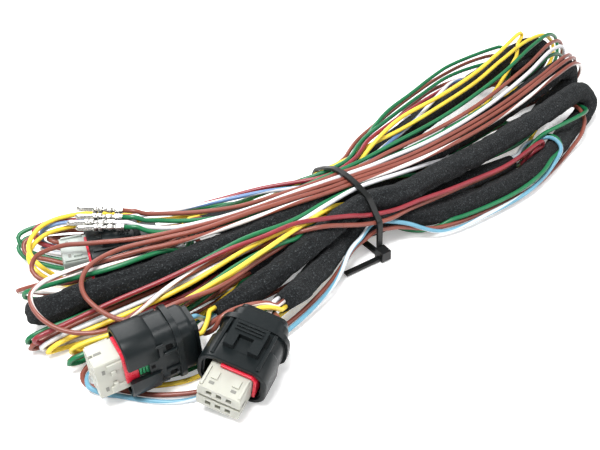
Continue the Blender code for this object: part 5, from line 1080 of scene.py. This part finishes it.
def connector_details(name, frame, paints):
    """Small moulded forms on a connector, and dark strips painted as the shade in its pockets and slots:
    name, from x, to x, size, centre, corner, and paint with slot.
    """
    top = 0.5 * SHELL_HEIGHT
    wide, high = carrier_size()
    under = -0.5 * high
    tip = SHELL_LENGTH + CARRIER_PROUD
    pale_slot = "carrier_grey" if name == "connector_3" else "carrier"
    black, recess_shade = (paints["housing"], "housing"), (paints["recess_shade"], "housing")
    pale, shade = (paints[pale_slot], pale_slot), (paints["shade"], pale_slot)
    forms = []
    for k in range(3):
        x = 4.0 + 1.5 * k
        place = (0.0, top + LATCH_HEIGHT + 0.35)
        forms.append(("thumb_ridge_%d" % (k + 1), x, x + 0.7, (11.0, 0.8), place, 0.15, black))
    for side, word in ((-1, "left"), (1, "right")):
        forms += [(form + word, x0, x1, size, (side * y, z), *rest) for form, x0, x1, size, y, z, *rest in (
            ("rail_", 2.0, SHELL_LENGTH - 0.6, (1.3, 1.4), 9.2, top + 0.62, 0.2, black),
            ("under_rib_", 6.0, SHELL_LENGTH - 1.0, (0.9, 0.7), 9.0, -top - 0.3, 0.2, black),
            ("flange_rib_", 1.2, 6.4, (1.2, 1.0), 4.3, -top - 0.4, 0.2, black),
            # dark strips painted as the shade inside the pockets under the shell
            ("pocket_near_", 3.0, 5.2, (2.4, 0.24), 6.6, -top - 0.02, 0.05, recess_shade),
            ("pocket_far_", 8.0, 9.6, (1.8, 0.24), 6.6, -top - 0.02, 0.05, recess_shade),
            ("carrier_rib_", SHELL_LENGTH + 2.4, tip - 0.8, (1.0, 0.7), 7.6, -under + 0.3, 0.2, pale),
            ("carrier_step_", SHELL_LENGTH + 1.2, tip - 4.4, (3.4, 0.8), 5.6, under - 0.35, 0.25, pale),
            ("carrier_catch_", tip - 7.2, tip - 5.6, (2.2, 1.3), 3.0, under - 0.6, 0.2, pale),
        )]
    # dark strips painted as the shade inside the slots of the carrier
    for k, (y, z) in enumerate(((-4.4, -under), (4.4, -under), (-4.4, under), (4.4, under))):
        forms.append(("carrier_slot_%d" % (k + 1), tip - 3.6, tip - 2.4, (2.0, 0.3), (y, z), 0.05, shade))
    for y, word in ((-0.5 * wide, "left"), (0.5 * wide, "right")):
        forms.append(("carrier_side_slot_" + word, tip - 5.0, tip - 2.0, (0.3, 1.2), (y, 0.0), 0.05, shade))
    # a small dark mark under the shell, painted as the shade of a recess
    mark = SHELL_LENGTH - 9.6
    forms.append(("cavity_mark", mark, mark + 1.6, (1.6, 0.2), (0.0, -top), 0.75, recess_shade))
    green, across = (paints["seal"], "seal"), WINDOW_WIDTH - 0.3
    for k in range(3):
        x = SHELL_LENGTH - WINDOW_LENGTH + 0.3 + 1.25 * k
        forms.append(("seal_rib_%d" % (k + 1), x, x + 0.85, (across, 1.3), (0.0, under - 0.75), 0.3, green))
    for form, x0, x1, size, centre, corner, look in forms:
        outline = rounded(*size, min(corner, 0.45 * min(size)), BAR_ARC, centre)
        made = loft("%s_%s" % (name, form), frame, [(x0, outline), (x1, outline)], *look)
        soften(made, min(0.25, 0.3 * min(size)))


def rim_collar(name, frame, paint):
    """The wider lobe of the shell at its mating end, open where the window is."""
    outline = rounded(SHELL_WIDTH, SHELL_HEIGHT, SHELL_CORNER, COLLAR_ARC)
    corner = len(outline) // 4
    half, under = 0.5 * WINDOW_WIDTH, -0.5 * SHELL_HEIGHT
    outline = [(half, under)] + outline[-corner:] + outline[:-corner] + [(-half, under)]
    front = SHELL_LENGTH + 0.9
    swell = ((COLLAR_START - 1.4, 0.02), (COLLAR_START, COLLAR_SWELL), (SHELL_LENGTH + 0.5, COLLAR_SWELL),
             (front, COLLAR_SWELL - 0.4), (front, -COLLAR_LIP), (SHELL_LENGTH + 0.02, -COLLAR_LIP),
             (SHELL_LENGTH + 0.02, 0.02))
    rows = len(swell)
    points, faces = [], []
    for y, z in outline:
        ny, nz = (y / (0.5 * SHELL_WIDTH)) ** 3, (z / (0.5 * SHELL_HEIGHT)) ** 3
        size = math.hypot(ny, nz)
        points += [(x, y + ny / size * out, z + nz / size * out) for x, out in swell]
    for k in range(len(outline) - 1):
        for r in range(rows):
            n = (r + 1) % rows
            faces.append((k * rows + r, k * rows + n, (k + 1) * rows + n, (k + 1) * rows + r))
    faces += [tuple(range(rows))[::-1], tuple(range(len(points) - rows, len(points)))]
    made = placed(name + "_rim_collar", frame, points, faces, paint)
    made.data.set_sharp_from_angle(angle=math.radians(40.0))


def make_connectors(nodes, paints):
    for name in CONNECTORS:
        pale = paints["carrier_grey" if name == "connector_3" else "carrier"]
        dress(nodes[name + "_carrier"], pale, CARRIER_EDGE)
        for piece, paint, width in EDGES:
            if "%s_%s" % (name, piece) in nodes:
                dress(nodes["%s_%s" % (name, piece)], paints[paint], width)
        connector_details(name, connector_frame(name), paints)
        rim_collar(name, connector_frame(name), paints["housing"])


PIN_SECTIONS = (           # x, half size across and high, and how square the section is
    (0.0, 0.30, 0.30, 2.0), (0.25, 0.70, 0.70, 2.0), (0.8, 1.02, 1.02, 2.0), (1.6, 1.14, 1.14, 2.0),
    (7.0, 1.14, 1.14, 2.0), (7.3, 1.30, 1.20, 3.0), (7.6, 1.48, 1.28, 5.0), (9.0, 1.48, 1.28, 6.0),
    (9.2, 1.30, 1.10, 6.0), (9.6, 1.30, 1.10, 6.0), (9.8, 1.48, 1.28, 6.0), (11.2, 1.48, 1.28, 6.0),
    (11.6, 0.95, 0.75, 3.0), (12.8, 0.90, 0.70, 3.0), (13.1, 1.22, 1.02, 2.6), (13.6, 1.28, 1.08, 2.6),
    (15.4, 1.28, 1.08, 2.6), (15.7, 1.00, 0.85, 2.4), (16.4, 1.00, 0.85, 2.4), (16.7, 1.42, 1.30, 2.3),
    (17.0, 1.46, 1.34, 2.3), (18.9, 1.46, 1.34, 2.3), (19.2, 1.36, 1.24, 2.3), (20.0, 1.30, 1.18, 2.2),
)
PIN_FACETS = 28
PIN_SEAM = 0.12            # depth of the seam along the top


def make_pins(paint):
    turns = [2 * math.pi * k / PIN_FACETS for k in range(PIN_FACETS)]
    for index, (tip, crimp) in enumerate(PINS):
        along = (Vector(crimp) - Vector(tip)).normalized()
        frame = Matrix.Translation(Vector(tip)) @ along.to_track_quat("X", "Z").to_matrix().to_4x4()
        sections = []
        for x, half_y, half_z, power in PIN_SECTIONS:
            outline = []
            for k, (c, s) in enumerate((math.cos(turn), math.sin(turn)) for turn in turns):
                size = (abs(c) ** power + abs(s) ** power) ** (-1.0 / power)
                seam = PIN_SEAM if k == PIN_FACETS // 4 else 0.0
                outline.append((half_y * c * size, half_z * s * size - seam))
            sections.append((x, outline))
        name = "pin_terminal_%d" % (index + 1)
        made = loft(name + "_crimped", frame, sections, paint, "metal")
        made.data.set_sharp_from_angle(angle=math.radians(50.0))
        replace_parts(made, name)


def main():
    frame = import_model()
    set_camera()
    make_strands(laid_out())
    paints = {name: moulded_paint(name, *look) for name, look in MOULDED.items()}
    make_connectors(frame["nodes"], paints)
    make_pins(metal_paint())
    dress(frame["nodes"]["cable_tie"], paints["tie"], TIE_EDGE)
    set_floor()
    set_light()


main()
